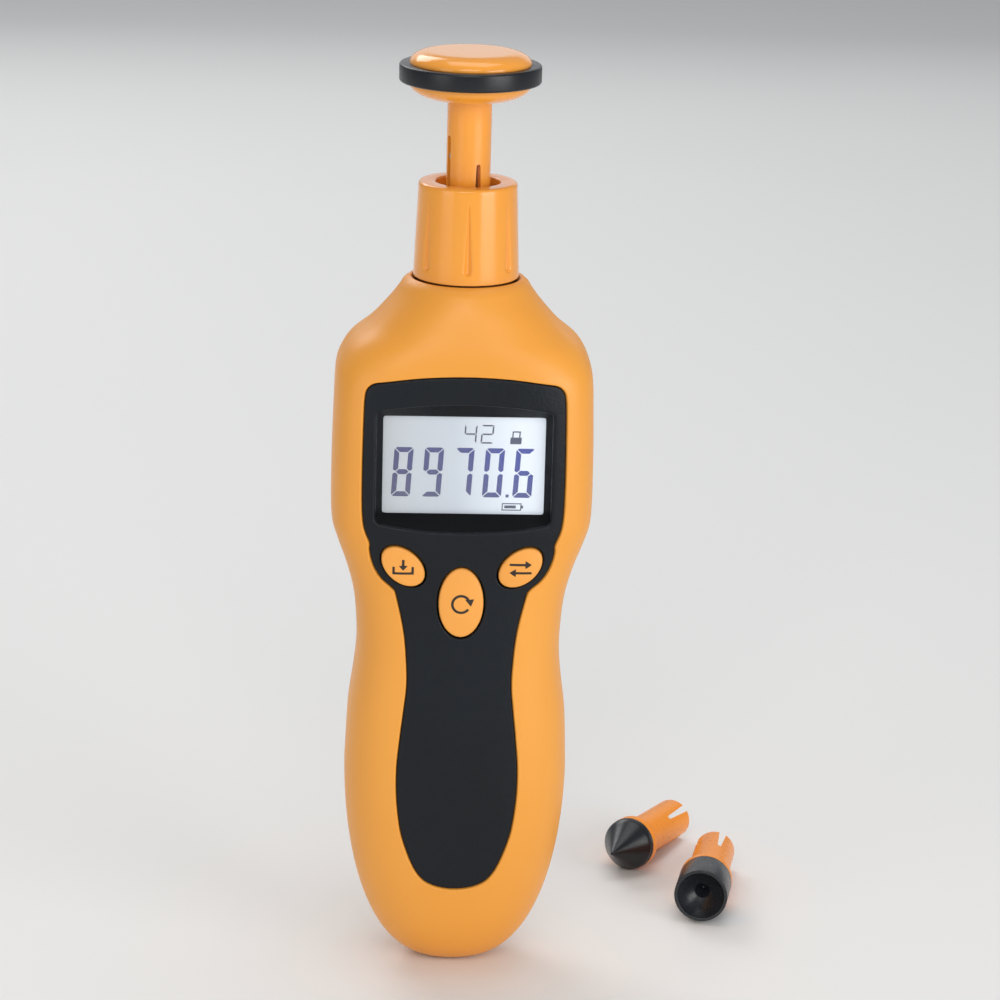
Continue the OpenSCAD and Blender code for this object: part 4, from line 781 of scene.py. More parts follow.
def ramped(tree, value, stops, interpolation="LINEAR"):
    """Colours along a value, by stops of place and web colour; the first stop is at 0."""
    node = add_node(tree, "ValToRGB", {"Fac": value})
    ramp = node.color_ramp
    ramp.interpolation = interpolation
    ramp.elements.remove(ramp.elements[1])
    for place, code in stops:
        element = ramp.elements[0] if place == 0 else ramp.elements.new(place)
        element.color = hex_colour(code)
    return node.outputs["Color"]


def cell_painted_glow_finish():
    """Pale glass with a painted glow, painted greyer on the left and brighter to the right as the light falls
    on it.
    """
    material, tree = new_finish("display_cell_painted_glow")
    coords = object_coords(tree)
    across = mapped(tree, coordinate(tree, coords, "X"), -0.019, 0.019)
    glow = ramped(tree, across, ((0, "#abb0b4"), (0.45, "#b0b7bf"), (1, "#e3eaf3")))
    # The emission is painted glow and the ramp across is painted light: the cell itself is no lamp.
    shade(tree, {"Base Color": glow, "Emission Color": glow, "Emission Strength": 0.34,
                 "Roughness": noise_value(tree, coords, 300, 2, 0.3, 0.38)})
    return material


def window_finish():
    """Clear plastic that only mirrors, with the slightest unevenness."""
    material, tree = new_finish("window_clear")
    shade(tree, {"Base Color": hex_colour("#f4f7fa"), "Alpha": 0.07,
                 "Roughness": noise_value(tree, object_coords(tree), 120, 3, 0.03, 0.07)})
    return material


def ink_painted_light_finish(name, left, middle, far_right):
    """Segment ink with painted light on it: its tint changes from the left to the right, and painted light
    makes it paler lower down.
    """
    material, tree = new_finish(name)
    coords = object_coords(tree)
    across = mapped(tree, coordinate(tree, coords, "X"), -0.017, 0.017)
    # Painted light: the ink is mixed towards a pale grey lower down on the screen.
    low = mapped(tree, coordinate(tree, coords, "Z"), (screen_z - 8) * mm, (screen_z + 1) * mm, 0.4, 0)
    tint = ramped(tree, across, ((0, left), (0.42, middle), (1, far_right)))
    painted_pale_tint = add_node(tree, "Mix", {"A": tint, "B": hex_colour("#56576f"), "Factor": low}, data_type="RGBA")
    shade(tree, {"Base Color": painted_pale_tint.outputs["Result"], "Specular IOR Level": 0.12,
                 "Roughness": noise_value(tree, coords, 500, 2, 0.4, 0.5)})
    return material


def segment_shapes(w, h, t):
    """The seven segments of a digit of a width, height and stroke, mitred with thin gaps between them."""
    gap, half = 0.11, h / 2

    def flip(shape):
        return [(x, h - z) for x, z in shape]

    def turn(shape):
        return [(w - x, z) for x, z in shape]

    top = [(0.5 * t, h), (w - 0.5 * t, h), (w - 0.22 * t, h - 0.2 * t), (w - t - gap, h - t),
           (t + gap, h - t), (0.22 * t, h - 0.2 * t)]
    left = [(0, h - 0.5 * t), (0.1 * t, h - 0.3 * t), (t, h - t - 0.24), (t, half + 0.62 * t),
            (0.5 * t, half + 0.16 * t), (0, half + 0.42 * t)]
    bar = [(0.62 * t, half), (1.05 * t + gap, half + 0.5 * t), (w - 1.05 * t - gap, half + 0.5 * t),
           (w - 0.62 * t, half), (w - 1.05 * t - gap, half - 0.5 * t), (1.05 * t + gap, half - 0.5 * t)]
    return {"a": top, "b": turn(left), "c": turn(flip(left)), "d": flip(top), "e": flip(left), "f": left,
            "g": bar}


lit = {"0": "abcdef", "2": "abged", "4": "fgbc", "6": "afgedc", "7": "abc", "8": "abcdefg", "9": "abcdfg"}


def number_shapes(number, size, left, low, pitch):
    """The lit segments of a number, given from the screen's lower left corner."""
    segments = segment_shapes(*size)
    return [[(x + left + place * pitch, z + low) for x, z in segments[letter]]
            for place, digit in enumerate(number) for letter in lit[digit]]


def box_shape(x0, z0, x1, z1):
    return [(x0, z0), (x1, z0), (x1, z1), (x0, z1)]


def prism(mesh, ends):
    """A solid between two outlines that have the same number of points."""
    rings = [[mesh.verts.new(Vector(p) * mm) for p in end] for end in ends]
    for ring in rings:
        mesh.faces.new(ring)
    join_rings(mesh, rings)


def print_shapes(name, shapes, finish):
    """Thin flat slanted shapes, laid between window and cell."""
    mesh = bmesh.new()
    for shape in shapes:
        prism(mesh, [[(-screen_w / 2 + x + (z - screen_h / 2) * lean_share, y, screen_z - screen_h / 2 + z)
                      for x, z in shape] for y in (ink_y - ink_t / 2, ink_y + ink_t / 2)])
    finish_mesh(mesh, name, finish, "instrument", merge=0.0005)


digit_left, digit_pitch, point_low, point_w = 2.5, 7.08, 3.8, 0.7
point_x = digit_left + 4 * digit_pitch - 1.55
digits = number_shapes("89706", (4.45, 11.9, 1.2), digit_left, 3.75, digit_pitch)
digits.append(box_shape(point_x, point_low, point_x + point_w, point_low + point_w))
lock_sign = [(29.2, 16.7, 31.8, 18.3), (29.55, 18.3, 29.85, 19.5), (31.15, 18.3, 31.45, 19.5),
             (29.55, 19.5, 31.45, 19.8)]
battery_sign = [(28.6, 0.6, 33.2, 0.85), (28.6, 2.15, 33.2, 2.4), (28.6, 0.85, 28.85, 2.15),
                (32.95, 0.85, 33.2, 2.15), (33.2, 1.15, 33.6, 1.85), (29.2, 1.15, 31.9, 1.85)]
signs = number_shapes("42", (2.9, 4.5, 0.36), 18.4, 16.75, 3.9)
signs += [box_shape(*corners) for corners in lock_sign + battery_sign]
print_shapes("display_digits", digits, ink_painted_light_finish("segment_ink", "#231d6c", "#1c2174", "#0432a6"))
print_shapes("display_signs", signs, ink_painted_light_finish("sign_ink", "#3a3b52", "#35374f", "#2f3a60"))
window_clear = window_finish()
moulded_white = moulded("holder_plastic", "#d9dad8", "#cfd0ce", (0.4, 0.5), 2600, 0.006, 60, 0.3)


def dress(finish, *names):
    """Gives CAD nodes their finish; their shape and place stay."""
    for name in names:
        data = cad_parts[name].data
        data.materials.clear()
        data.materials.append(finish)


dress(cell_painted_glow_finish(), "lcd_cell")
dress(window_clear, "display_window")
dress(moulded_white, "lcd_frame")
dress(moulded("strip_rubber", "#8d8f93", "#3c3e42", (0.55, 0.7), 9000, 0.004, 2500, 0.3), "contact_strips")

# ---------------------------------------------------------------- battery bay and door
# Behind the handle a plain door lies on a ledge, held by one small screw. Thin partitions moulded into
# the rear half hold the battery below and above and on both sides.
(battery_min, battery_max), (_, clip_max) = (
    [np.array(corner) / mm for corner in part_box(node)] for node in ("battery", "battery_snap"))
rib_t, battery_gap, seam_clear, wall_clear = 1.6, 0.3, 0.08, 0.04


def skin_y(side, x, z, inset):
    """How far behind (or in front of) the axis the case's surface lies, at an inset."""
    w, d, n = section_at(side, z, station_z)
    return side * (d - inset) * np.maximum(1 - np.minimum(np.abs(x) / (w - inset), 1) ** n, 0) ** (1 / n)


def bay_plate(mesh, low, front):
    """A level partition: cut straight in front, following the wall behind."""
    inset, ends = wall_t + wall_clear, []
    for z in (low, low + rib_t):
        w = np.interp(z, station_z, station_w) - inset - 0.01
        xs = [x for x in np.linspace(-w, w, 41) if skin_y(1, x, z, inset) > front + 0.05]
        ends.append([(xs[0], front, z)] + [(x, skin_y(1, x, z, inset), z) for x in xs] + [(xs[-1], front, z)])
    prism(mesh, ends)


def bay_cheek(mesh, middle, low, high):
    """An upright partition beside the battery, following the wall behind."""
    prism(mesh, [[(x, seam_clear, high), (x, seam_clear, low)]
                 + [(x, skin_y(1, x, z, wall_t + wall_clear), z) for z in np.linspace(low, high, 25)]
                 for x in (middle - rib_t / 2, middle + rib_t / 2)])


bay = bmesh.new()
plate_low = battery_min[2] - battery_gap - rib_t
bay_plate(bay, plate_low, seam_clear)
bay_plate(bay, clip_max[2] + battery_gap, clip_max[1])
for s in (1, -1):
    bay_cheek(bay, s * (battery_max[0] + battery_gap + rib_t / 2), plate_low + rib_t, clip_max[2] - 1.4)
finish_mesh(bay, "battery_bay_ribs", case_finish, "instrument")

screw_head_r, small_share = 2.7, 0.8         # the case's screws, and the door's against them
door_screw_z = battery_min[2] - 4
door_face = float(skin_y(1, 0, door_screw_z, 0))
door_well_r, door_boss_r = (screw_head_r * small_share + out for out in (0.2, 0.8))
door_shank_r = 1.32
door_boss_y = door_face - door_t - door_ledge - 0.5
door_seat_y = door_boss_y + 1
groove_w, groove_h, groove_r, groove_pitch = 15.5, 0.9, 0.44, 2.4
groove_rows = (0.12, 0), (0, 0.12), (-0.25, 0.34)        # how far each line is grown, and its depth


def tube_wall(mesh, x, z, rows, count=48):
    """A ring of faces round a hole or boss that runs along Y: rows of (radius, y), closed on itself."""
    join_rings(mesh, [[mesh.verts.new(Vector((x + r * math.cos(t), y, z + r * math.sin(t))) * mm)
                       for t in full_turn(count)] for r, y in rows], closed=True)


def battery_door():
    """The door's skin with its finger grooves, the plate that fits the opening, and the screw's well."""
    mesh = bmesh.new()
    well = ring_at(0, door_screw_z, door_well_r)
    skin, rows = rounded_box(door_w, door_h, door_corner_r, door_z), round_over(0.3)
    loops = rim_loops(skin, rows) + hole_loops(well, round_over(0.2))
    for step in range(5):
        groove = rounded_box(groove_w, groove_h, groove_r, door_high - 6.5 - groove_pitch * step, 0.3)
        loops += [(grown(groove, out), depth, False) for out, depth in groove_rows]
    verts, depth, faces = fill_pattern((skin, rows[0][1]), loops, [], 1.2)
    cast_shell(mesh, verts, depth, faces, view_place(1), door_t)
    plate_depth, inset = door_t - 0.03, door_ledge + door_gap
    plate = rounded_box(door_w - 2 * inset, door_h - 2 * inset, door_corner_r - inset, door_z)
    verts, depth, faces = fill_pattern((plate, plate_depth), [(well, plate_depth, True)], [], 1.6,
                                       lambda p: np.full(len(p), plate_depth))
    cast_shell(mesh, verts, depth, faces, view_place(1), door_t + door_ledge)
    tube_wall(mesh, 0, door_screw_z, [
        (door_well_r, door_face - door_t), (door_well_r, door_seat_y), (door_shank_r, door_seat_y),
        (door_shank_r, door_boss_y), (door_boss_r, door_boss_y), (door_boss_r, door_face - door_t)])
    door = finish_mesh(mesh, "battery_door_moulding", case_finish, "battery_door")
    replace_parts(door, "battery_door")


battery_door()

# ---------------------------------------------------------------- screws
# Five pan-head screws with a cross recess, zinc plated. Four draw the rear half to the front one, and
# the small one holds the battery door.
screw_steel = moulded("screw_steel", "#b9bcc0", "#9ea1a6", (0.22, 0.42), 5200, 0.006, 700, 0.4, metal=1.0)
screw_head_t, screw_shank_r, screw_sink, pillar_r = 1.9, 1.4, 1.2, 3.4
thread_step, thread_share, case_screw_end, door_screw_l = 0.4, 0.78, -11, 5.9


def pan_screw(mesh, x, z, seat, share, low):
    """A head with a cross cut into its dome, on a threaded shank that runs along Y down to low."""
    head_r, head_t, shank_r = (size * share for size in (screw_head_r, screw_head_t, screw_shank_r))
    arm, half, cross_depth = 0.58 * head_r, 0.14 * head_r, 0.42 * head_t
    cross = even_loop([
        (half, half), (half, arm), (-half, arm), (-half, half), (-arm, half), (-arm, -half), (-half, -half),
        (-half, -arm), (half, -arm), (half, -half), (arm, -half), (arm, half)], 0.16)
    cross_foot = cross * 0.9
    disc, rows = ring_at(0, 0, head_r, 56), round_over(0.22 * head_r)
    loops = rim_loops(disc, rows) + [(cross, 0.02, False), (cross_foot, cross_depth, False)]
    verts, depth, faces = fill_pattern((disc, rows[0][1]), loops, [], 0.42,
                                       lambda p: np.where(within(p, cross_foot), cross_depth, 0.0))

    def place(u, v, d):
        dome = 0.07 / head_r * (u * u + v * v)
        return np.stack([x + u, seat + head_t - dome - d, z + v], axis=-1)

    cast_shell(mesh, verts, depth, faces, place, head_t)
    thread, y, out = [(0.02, seat + 0.2), (shank_r, seat + 0.2)], seat, True
    while y > low + 0.6:
        thread.append((shank_r if out else shank_r * thread_share, y))
        y, out = y - thread_step, not out
    tube_wall(mesh, x, z, thread + [(shank_r * 0.3, low), (0.02, low)], 20)


def screw_seat(x, z):
    """The level of a screw's seat: below the lowest point of the case round its pillar."""
    rim = [skin_y(1, x + pillar_r * math.cos(t), z + pillar_r * math.sin(t), 0) for t in full_turn(8)]
    return float(min(rim)) - screw_sink - screw_head_t


screws, door_screw = bmesh.new(), bmesh.new()
for x, z in screw_places:
    for s in (1, -1):
        pan_screw(screws, s * x, z, screw_seat(x, z), 1, case_screw_end)
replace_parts(finish_mesh(screws, "case_screw_set", screw_steel, "instrument", merge=0.001),
            "case_screws")
pan_screw(door_screw, 0, door_screw_z, door_seat_y, small_share, door_boss_y - door_screw_l)
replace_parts(finish_mesh(door_screw, "battery_door_screw", screw_steel, "battery_door", merge=0.001),
            "door_screw")

# ---------------------------------------------------------------- case fittings
# What the case halves close round: a circuit board with its parts and switches, a 9 V block battery on a
# snap lead, a foam pad that keeps it quiet, the supply inlet, and the sleeve with the optical pickup.


def board_finish():
    """Green solder mask over straight copper runs, with a finer weave of glass cloth in it."""
    material, tree = new_finish("board_laminate")
    coords = object_coords(tree)
    runs = add_node(tree, "TexVoronoi", {"Vector": coords, "Scale": 210}, distance="CHEBYCHEV", feature="F2")
    tint = ramped(tree, runs.outputs["Distance"], ((0, "#12502c"), (0.62, "#1f6e3d")), "CONSTANT")
    shade(tree, {"Base Color": tint, "Roughness": noise_value(tree, coords, 900, 3, 0.25, 0.4),
                 "Normal": relief(tree, tint, 0.03 * mm, 0.6)})
    return material


def battery_finish():
    """A steel shell with brushed lines along it, between darker bands."""
    material, tree = new_finish("battery_shell")
    coords = object_coords(tree)
    height = mapped(tree, coordinate(tree, coords, "Z"), battery_min[2] * mm, battery_max[2] * mm)
    bands = ramped(tree, height, ((0, "#3a3d42"), (0.04, "#a9adb3"), (0.3, "#33363c"), (0.93, "#a9adb3")),
                   "CONSTANT")
    brushed = add_node(tree, "Mapping", {"Vector": coords, "Scale": (1, 1, 0.02)}).outputs["Vector"]
    shade(tree, {"Base Color": bands, "Metallic": 0.6,
                 "Roughness": noise_value(tree, brushed, 4000, 2, 0.28, 0.45)})
    return material


def foam_finish():
    """Grey closed-cell foam: small round pores all over, painted darker in their hollows as shade."""
    material, tree = new_finish("pad_foam")
    coords = object_coords(tree)
    pores = add_node(tree, "TexVoronoi", {"Vector": coords, "Scale": 1500}).outputs["Distance"]
    # The pores' dark centres are painted shade in their hollows.
    shade(tree, {"Base Color": ramped(tree, pores, ((0, "#36383b"), (0.5, "#6a6c70"))),
                 "Roughness": noise_value(tree, coords, 800, 2, 0.85, 0.98),
                 "Normal": relief(tree, pores, 0.2 * mm)})
    return material


dress(board_finish(), "main_board")
dress(battery_finish(), "battery")
dress(foam_finish(), "battery_pad")
dress(screw_steel, "board_screws", "dc_jack_pin")
dress(moulded("fitting_black", "#1d1e20", "#151618", (0.4, 0.55), 3000, 0.008, 60, 0.3),
      "dc_jack", "battery_snap", "pickup_disc")
dress(moulded("fitting_grey", "#3d4044", "#34373b", (0.42, 0.55), 3000, 0.008, 50, 0.3),
      "key_switches", "bearing_retainer", "pickup_block")
dress(moulded("chip_resin", "#202124", "#0f1011", (0.5, 0.7), 6000, 0.008, 900, 0.3), "board_parts")
# The sleeve's dark brown is painted shade: it shows in the gap below the collar and reads as the seam's
# shadow.
dress(moulded("sleeve_painted_seam_shade", "#7c4a1c", "#6a3e16", (0.45, 0.6), 3000, 0.006, 50, 0.3), "nose_sleeve")
dress(moulded("lead_red", "#b3211f", "#97191a", (0.3, 0.45), 2400, 0.005, 400, 0.3), "battery_lead_red")
dress(moulded("lead_black", "#1a1a1c", "#101011", (0.3, 0.45), 2400, 0.005, 400, 0.3), "battery_lead_black")
dress(moulded("pickup_resin", "#1b2140", "#141a33", (0.08, 0.16), 900, 0.003, 300, 0.2), "pickup_pair")
dress(moulded_white, "memory_plunger", "mode_plunger", "measure_plunger")
dress(window_clear, "pickup_window")

# ---------------------------------------------------------------- contact adapter
# The plug-in nose piece: a fluted plastic collar on a spigot with a rubber ring, and in it two ball
# bearings that carry the steel spindle with its cross pin and, at its lower end, the pickup's disc.
tip_finish = moulded("tip_plastic", "#f4a13b", "#ee9a33", (0.14, 0.2), 1800, 0.001, 18, 0.3, coat=0.15)
rubber_finish = moulded("tip_rubber", "#0f1218", "#0b0d12", (0.28, 0.38), 4200, 0.003, 40, 0.25,
                        specular=0.45)
ground_steel = moulded("ground_steel", "#c3c6ca", "#b1b4b9", (0.14, 0.26), 5200, 0.004, 500, 0.3, metal=1.0)
cage_brass = moulded("cage_brass", "#b98a3c", "#a3762d", (0.28, 0.4), 4200, 0.005, 600, 0.3, metal=1.0)


def turned_finish():
    """Bright steel with the fine rings that a lathe leaves round it."""
    material, tree = new_finish("turned_steel")
    coords = object_coords(tree)
    rings = add_node(tree, "TexWave", {"Vector": coords, "Scale": 900, "Distortion": 0.6},
                     bands_direction="Z").outputs["Fac"]
    shade(tree, {"Base Color": ramped(tree, rings, ((0, "#aeb1b6"), (1, "#cdd0d4"))), "Metallic": 1.0,
                 "Roughness": noise_value(tree, coords, 1600, 2, 0.18, 0.32),
                 "Normal": relief(tree, rings, 0.01 * mm)})
    return material


dress(rubber_finish, "adapter_seal")
dress(ground_steel, "bearing_outer_rings", "bearing_inner_rings", "bearing_balls")
dress(cage_brass, "bearing_cages")
dress(turned_finish(), "outer_spacer", "inner_spacer", "spindle", "drive_pin")
dress(screw_steel, "disc_screw")
collar_z, collar_top, collar_low_r, collar_top_r = 90.0066, 112.1066, 12.35, 11.45
collar_foot_r, collar_seam, collar_round = 12.05, 0.15, 0.8
flute_count, flute_low, flute_high, flute_wide, flute_thin, flute_out = 7, 3.3, 18.0, 1.2, 0.15, 0.3
spigot_r, spigot_low, seal_r, seal_low, seal_high = 9.6, 81.2066, 8.9, 84.14, 85.74
throat_r, throat_round, throat_floor = 7.5, 0.45, 101.5066
bearing_bore_r, bearing_low, exit_r = 5.55, 81.9066, 4.6
in_flute, beside_flute = 12, 9       # the collar's columns of points across a flute and beside it


def collar_r(h):
    return collar_low_r + (collar_top_r - collar_low_r) * h / (collar_top - collar_z)


def flute_at(h):
    """Centre distance and radius of the round cutter that a flute is the trace of, at a height."""
    share = np.clip((h - flute_low) / (flute_high - flute_low), 0, 1)
    low_centre = collar_r(flute_low) + flute_out
    centre = low_centre + (collar_r(flute_high) - low_centre) * share
    radius = flute_wide + (flute_thin - flute_wide) * share
    if h < flute_low:
        radius = math.sqrt(max(flute_wide ** 2 - (flute_low - h) ** 2, 0))
    return centre, radius if h <= flute_high + 0.1 else 0


def collar_row(radius, z, fluted):
    """One row of the collar's points, in columns that follow the flutes."""
    edge, deep = 0.0, 0.0
    centre, cutter = flute_at(z - collar_z) if fluted else (0, 0)
    if cutter > 0:
        edge = math.acos(min(max((centre ** 2 + radius ** 2 - cutter ** 2) / (2 * centre * radius), -1), 1))
        deep = max(radius - centre + cutter, 0)
    edge = max(edge * 1.15, math.radians(0.35))
    sector = 2 * math.pi / flute_count
    across = edge * np.linspace(-1, 1, in_flute + 1)
    beside = edge + (sector - 2 * edge) * np.arange(1, 2 * beside_flute) / (2 * beside_flute)
    radii = np.append(radius - deep * np.cos(math.pi / 2 * across / edge) ** 2, np.full(len(beside), radius))
    return [(r * math.cos(a), r * math.sin(a), z) for start in -math.pi / 2 + sector * np.arange(flute_count)
            for r, a in zip(radii, start + np.append(across, beside))]


def adapter_collar():
    """A revolved wall, closed on itself: spigot, fluted outside, rounded top, throat and bearing bore."""
    heights = [0.3, 1.2] + [flute_low - flute_wide * math.cos(t) for t in quarter(6)]
    heights += list(np.linspace(flute_low, flute_high, 30)[1:]) + [18.4, 19.6, 20.6]
    spigot = [(spigot_r, spigot_low), (spigot_r, seal_low), (seal_r, seal_low), (seal_r, seal_high),
              (spigot_r, seal_high), (spigot_r, collar_z), (collar_foot_r - 0.15, collar_z),
              (collar_foot_r, collar_z - collar_seam), (collar_low_r - 0.05, collar_z - collar_seam + 0.05)]
    top = [(collar_top_r + 0.03 - collar_round * (1 - math.cos(t)),
            collar_top - collar_round * (1 - math.sin(t))) for t in quarter(6)]
    throat = [(throat_r + throat_round * (1 - math.sin(t)), collar_top - throat_round * (1 - math.cos(t)))
              for t in quarter(4)]
    throat += [(throat_r, throat_floor), (bearing_bore_r, throat_floor), (bearing_bore_r, bearing_low),
               (exit_r, bearing_low), (exit_r, spigot_low)]
    rows = [collar_row(r, z, False) for r, z in spigot]
    rows += [collar_row(collar_r(h), h + collar_z, True) for h in heights]
    rows += [collar_row(r, z, False) for r, z in top + throat]
    mesh = bmesh.new()
    join_rings(mesh, [[mesh.verts.new(Vector(p) * mm) for p in row] for row in rows], closed=True)
    collar = finish_mesh(mesh, "adapter_collar_moulding", tip_finish, "adapter", sharp=32, merge=0.001)
    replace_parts(collar, "adapter_collar")


adapter_collar()

# ---------------------------------------------------------------- measuring tips
# One wheel with a rubber tyre stands in the adapter; a cone and a funnel lie beside the instrument. Each
# is a glossy plastic stem, split four ways at its end so that it springs over the spindle's cross pin.
loose_finish = moulded("loose_tip_plastic", "#f5962c", "#ee8b22", (0.26, 0.34), 1800, 0.001, 18, 0.0,
                       specular=0.35)
# The funnel's rubber is a lighter copy of the tip rubber: painted sheen for the light inside the cup.
cup_sheen_finish = moulded("cup_rubber_painted_sheen", "#1a1d22", "#14161b", (0.26, 0.36), 4200, 0.003, 40, 0.25, specular=0.55)
stem_r, stem_round, bore_r, bore_end, bore_chamfer, finger_round = 5.15, 0.7, 3.5, 17.5, 0.2, 0.8
# Turn of the first slot, and each pair's width, length and taper; the first pair takes the cross pin
slot_turn, slot_sizes = -65, ((1.5, 16.9, 0.0), (1.0, 10.8, 0.045))
stem_columns, stem_end = 14, 106.0066
flange_r, flange_l, holder_l = 6.75, 2.2, 26.0
lie_tilt = math.atan((flange_r - stem_r) / (holder_l - flange_l - stem_round))
lie_z = foot_z + stem_r * math.cos(lie_tilt) - stem_round * math.sin(lie_tilt)


def lying(x, y, turn, roll):
    """Where a loose tip lies: on its flange and its split end, on the level of the case's foot."""
    return (Matrix.Translation((x * mm, y * mm, lie_z * mm)) @ Matrix.Rotation(math.radians(turn), 4, "Z")
            @ Matrix.Rotation(math.pi / 2 - lie_tilt, 4, "Y")
            @ Matrix.Rotation(math.radians(-slot_turn - roll), 4, "Z"))


def ring_points(mesh, place, r, z, turns):
    return [mesh.verts.new(place @ (Vector((r * math.cos(a), r * math.sin(a), z)) * mm)) for a in turns]


def slot_half(pair, z):
    """Half a slot's width at a height: a rounded mouth, sides that may part downwards, a round end."""
    width, length, taper = slot_sizes[pair % 2]
    if z >= length - 1e-6:
        return 0.0
    if z > length - width / 2:
        return math.sqrt((width / 2) ** 2 - (z - length + width / 2) ** 2)
    mouth_cut = max(finger_round - z, 0) / finger_round
    return width / 2 + taper * (length - width / 2 - z) + finger_round * (1 - math.sqrt(1 - mouth_cut ** 2))


def split_layer(mesh, place, levels, radius_at):
    """One wall of a split stem: rows of four sectors of points, which share their edges above the slots."""
    rows = []
    for z in levels:
        r, sectors = radius_at(z), []
        for k in range(4):
            low, high = (math.asin(min(slot_half(pair, z) / r, 1)) for pair in (k, k + 1))
            start = math.radians(slot_turn + 90 + 90 * k)
            turns = np.linspace(start + low, start + math.pi / 2 - high, stem_columns + 1)
            sectors.append(ring_points(mesh, place, r, z, turns))
        for k in range(4):
            if slot_half(k + 1, z) == 0:
                mesh.verts.remove(sectors[k][-1])
                sectors[k][-1] = sectors[(k + 1) % 4][0]
        rows.append(sectors)
    for low_row, high_row in zip(rows, rows[1:]):
        for below, above in zip(low_row, high_row):
            for i in range(stem_columns):
                corners = [below[i], below[i + 1], above[i + 1], above[i]]
                mesh.faces.new([v for n, v in enumerate(corners) if v is not corners[n - 1]])
    return rows


def split_stem(name, body, place, upper, replaced, finish):
    """A stem with four slots, open below, that goes on above the bore as the given profile."""
    levels = {0.0, 0.05, 0.2, 0.4, 0.7, 0.8, 3.0, 6.0, 9.0, 12.5, 14.3, bore_end}
    for width, length, _ in slot_sizes:
        levels |= {round(length - width / 2 * (1 - math.sin(math.radians(a))), 5) for a in range(0, 91, 15)}
    levels = sorted(levels)

    def outer_r(z):
        rounding = max(stem_round - z, 0) / stem_round
        return stem_r - stem_round * (1 - math.sqrt(1 - rounding ** 2))

    mesh = bmesh.new()
    outer = split_layer(mesh, place, levels, outer_r)
    inner = split_layer(mesh, place, levels, lambda z: bore_r + max(bore_chamfer - z, 0))
    for k in range(4):
        foot, bore = outer[0][k], inner[0][k]
        for i in range(stem_columns):
            mesh.faces.new([foot[i], foot[i + 1], bore[i + 1], bore[i]])
        # The slot's two sides
        for column, pair in ((0, k), (-1, k + 1)):
            for n in range(len(levels) - 1):
                if slot_half(pair, levels[n]) > 0:
                    mesh.faces.new([outer[n][k][column], outer[n + 1][k][column],
                                    inner[n + 1][k][column], inner[n][k][column]])
    mesh.faces.new([v for sector in inner[-1] for v in sector[:-1]])
    turns = [math.radians(slot_turn + 90 + 90 * k) + math.pi / 2 * i / stem_columns
             for k in range(4) for i in range(stem_columns)]
    rings = [[v for sector in outer[-1] for v in sector[:-1]]]
    rings += [ring_points(mesh, place, r, z, turns) for r, z in upper]
    join_rings(mesh, rings)
    mesh.faces.new(rings[-1])
    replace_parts(finish_mesh(mesh, name, finish, body, sharp=36, merge=0.0004), replaced)


def turned_rubber(name, body, place, profile, replaced, finish, count=112):
    """A rubber piece turned about the drive axis; the profile ends on the axis or closes on itself."""
    mesh = bmesh.new()
    on_axis = profile[-1][0] < 0.05
    rings = [ring_points(mesh, place, r, z, full_turn(count)) for r, z in profile]
    join_rings(mesh, rings, closed=not on_axis)
    if on_axis:
        mesh.faces.new(rings[0])
        mesh.faces.new(rings[-1])
    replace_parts(finish_mesh(mesh, name, finish, body, sharp=40, merge=0.0004), replaced)


def arc(r, z, across, up, degrees):
    """Profile points on a round or oval about (r, z), at the given angles."""
    return [(r + across * math.cos(a), z + up * math.sin(a)) for a in np.radians(degrees)]


# The wheel: a stem that flares into a bowl, a seat for the tyre, and a flat-topped crown
hub_r, seat_r, tyre_low, tyre_high, flare = 14.15, 13.75, 29.2, 33.4, 0.6
stem_top, bowl_z, bowl_h, crown_h, crown_round, crown_flat_r = 24.6, 29.0, 3.85, 2.9, 5.0, 4.0
hub_profile = [
    (stem_r, 20), (stem_r, stem_top), *arc(stem_r + flare, stem_top, -flare, flare, (30, 60, 80)),
    *arc(stem_r + flare, bowl_z, hub_r - stem_r - flare, bowl_h, range(-84, 1, 6)),
    (hub_r, tyre_low), (seat_r, tyre_low), (seat_r, tyre_high), (hub_r - 0.1, tyre_high),
    *arc(hub_r - crown_round, tyre_high, crown_round, crown_h, range(6, 91, 7)),
    (crown_flat_r, tyre_high + crown_h)]
tyre_r, tyre_h, tyre_bore_r, tyre_round = 16.4, 4.2, 13.8, 0.55
tyre_profile = [
    (tyre_bore_r, 0), *arc(tyre_r - tyre_round, tyre_round, tyre_round, tyre_round, np.linspace(-90, 0, 6)),
    *arc(tyre_r - tyre_round, tyre_h - tyre_round, tyre_round, tyre_round, np.linspace(0, 90, 6)),
    (tyre_bore_r, tyre_h)]
hub_place, tyre_place = (Matrix.Translation((0, 0, z * mm)) for z in (stem_end, stem_end + tyre_low))
split_stem("wheel_hub_moulding", "wheel", hub_place, hub_profile, "wheel_hub", tip_finish)
turned_rubber("wheel_tyre_ring", "wheel", tyre_place, tyre_profile, "wheel_tyre", rubber_finish, 144)

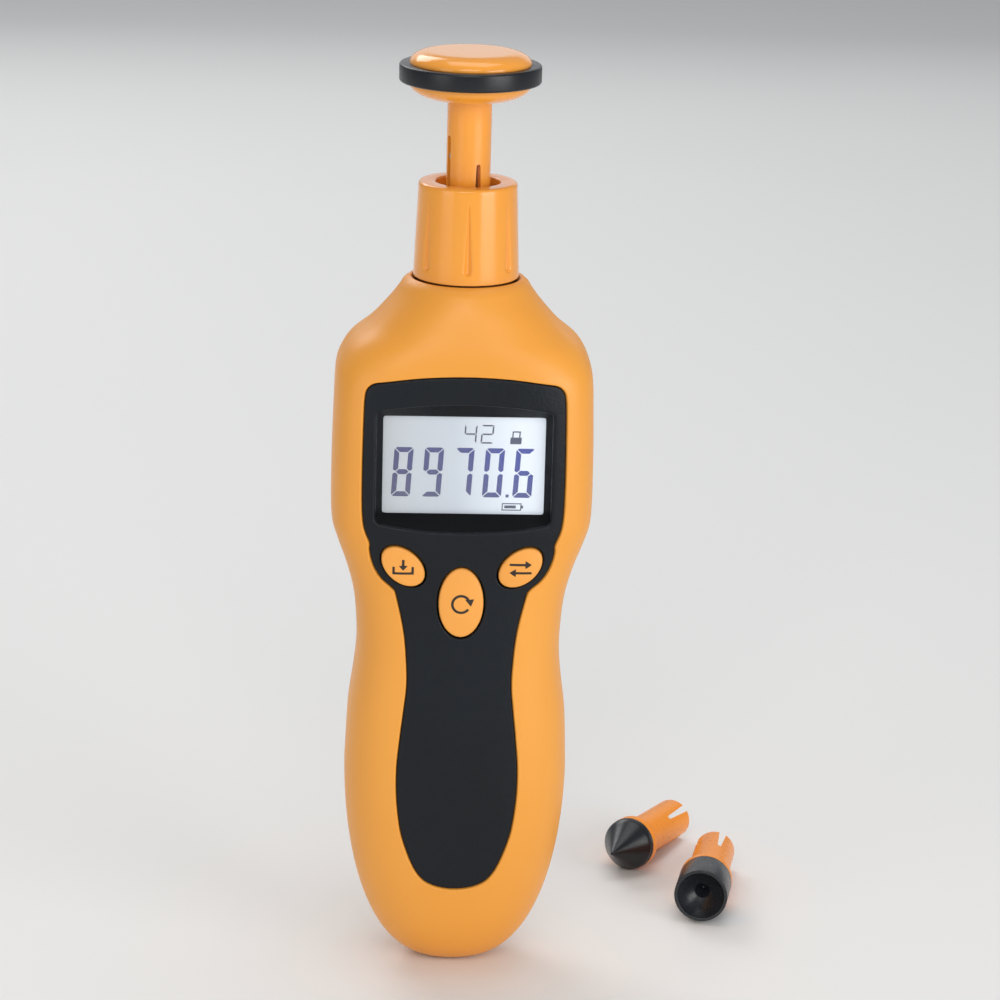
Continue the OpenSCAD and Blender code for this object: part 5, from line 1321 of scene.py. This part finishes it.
# The holders of the loose tips: a stem that swells into a flange, and a peg that the rubber is pushed on
swell_low, swell_l, peg_r, peg_l = 21.2, 2.6, 3.6, 3.0
holder_profile = [
    (stem_r, 20), (stem_r, swell_low),
    *((stem_r + (flange_r - stem_r) * t ** 1.7, swell_low + swell_l * t) for t in np.linspace(0.1, 0.96, 9)),
    *arc(flange_r - 0.25, holder_l - flange_l + 0.3, 0.25, 0.25, (-20, -10, 0)),
    *arc(flange_r - 0.2, holder_l - 0.2, 0.2, 0.2, (0, 30, 60, 90)),
    (peg_r, holder_l), (peg_r, holder_l + peg_l), (1.0, holder_l + peg_l)]
socket_profile = [(0.02, peg_l), (peg_r + 0.05, peg_l), (peg_r + 0.05, 0)]
cone_profile = [
    (6.5, 0), (6.68, 0.1), (6.75, 0.35), (6.75, 0.8), (6.6, 0.95), (6.55, 1.15), (6.62, 1.3), (6.7, 1.6),
    (6.6, 2.05), (6.3, 2.55), (5.85, 3.2), (0.62, 10.75), (0.5, 11.1), (0.38, 11.3), (0.2, 11.4),
    (0.02, 11.4)]
funnel_profile = [
    (6.55, 0), (6.7, 0.08), (6.75, 0.25), *arc(6.53, 11.78, 0.22, 0.22, np.linspace(0, 90, 5)),
    *arc(6.08, 11.82, 0.18, 0.18, np.linspace(90, 170, 4)), (5.85, 11.7), (2.15, 7.6), (2.0, 7.55),
    (1.9, 7.4), (0.3, 4.6), (0.02, 4.5)]
cone_place, funnel_place = lying(61.8, 77.1, -120.3, 45), lying(71, 54.8, -101.3, 22)
on_flange = Matrix.Translation((0, 0, holder_l * mm))
split_stem("cone_holder_moulding", "cone_tip", cone_place, holder_profile, "cone_holder", loose_finish)
split_stem("funnel_holder_moulding", "funnel_tip", funnel_place, holder_profile, "funnel_holder",
           loose_finish)
turned_rubber("cone_rubber_tip", "cone_tip", cone_place @ on_flange, socket_profile + cone_profile,
              "cone_rubber", rubber_finish)
turned_rubber("funnel_rubber_cup", "funnel_tip", funnel_place @ on_flange, socket_profile + funnel_profile,
              "funnel_rubber", cup_sheen_finish)
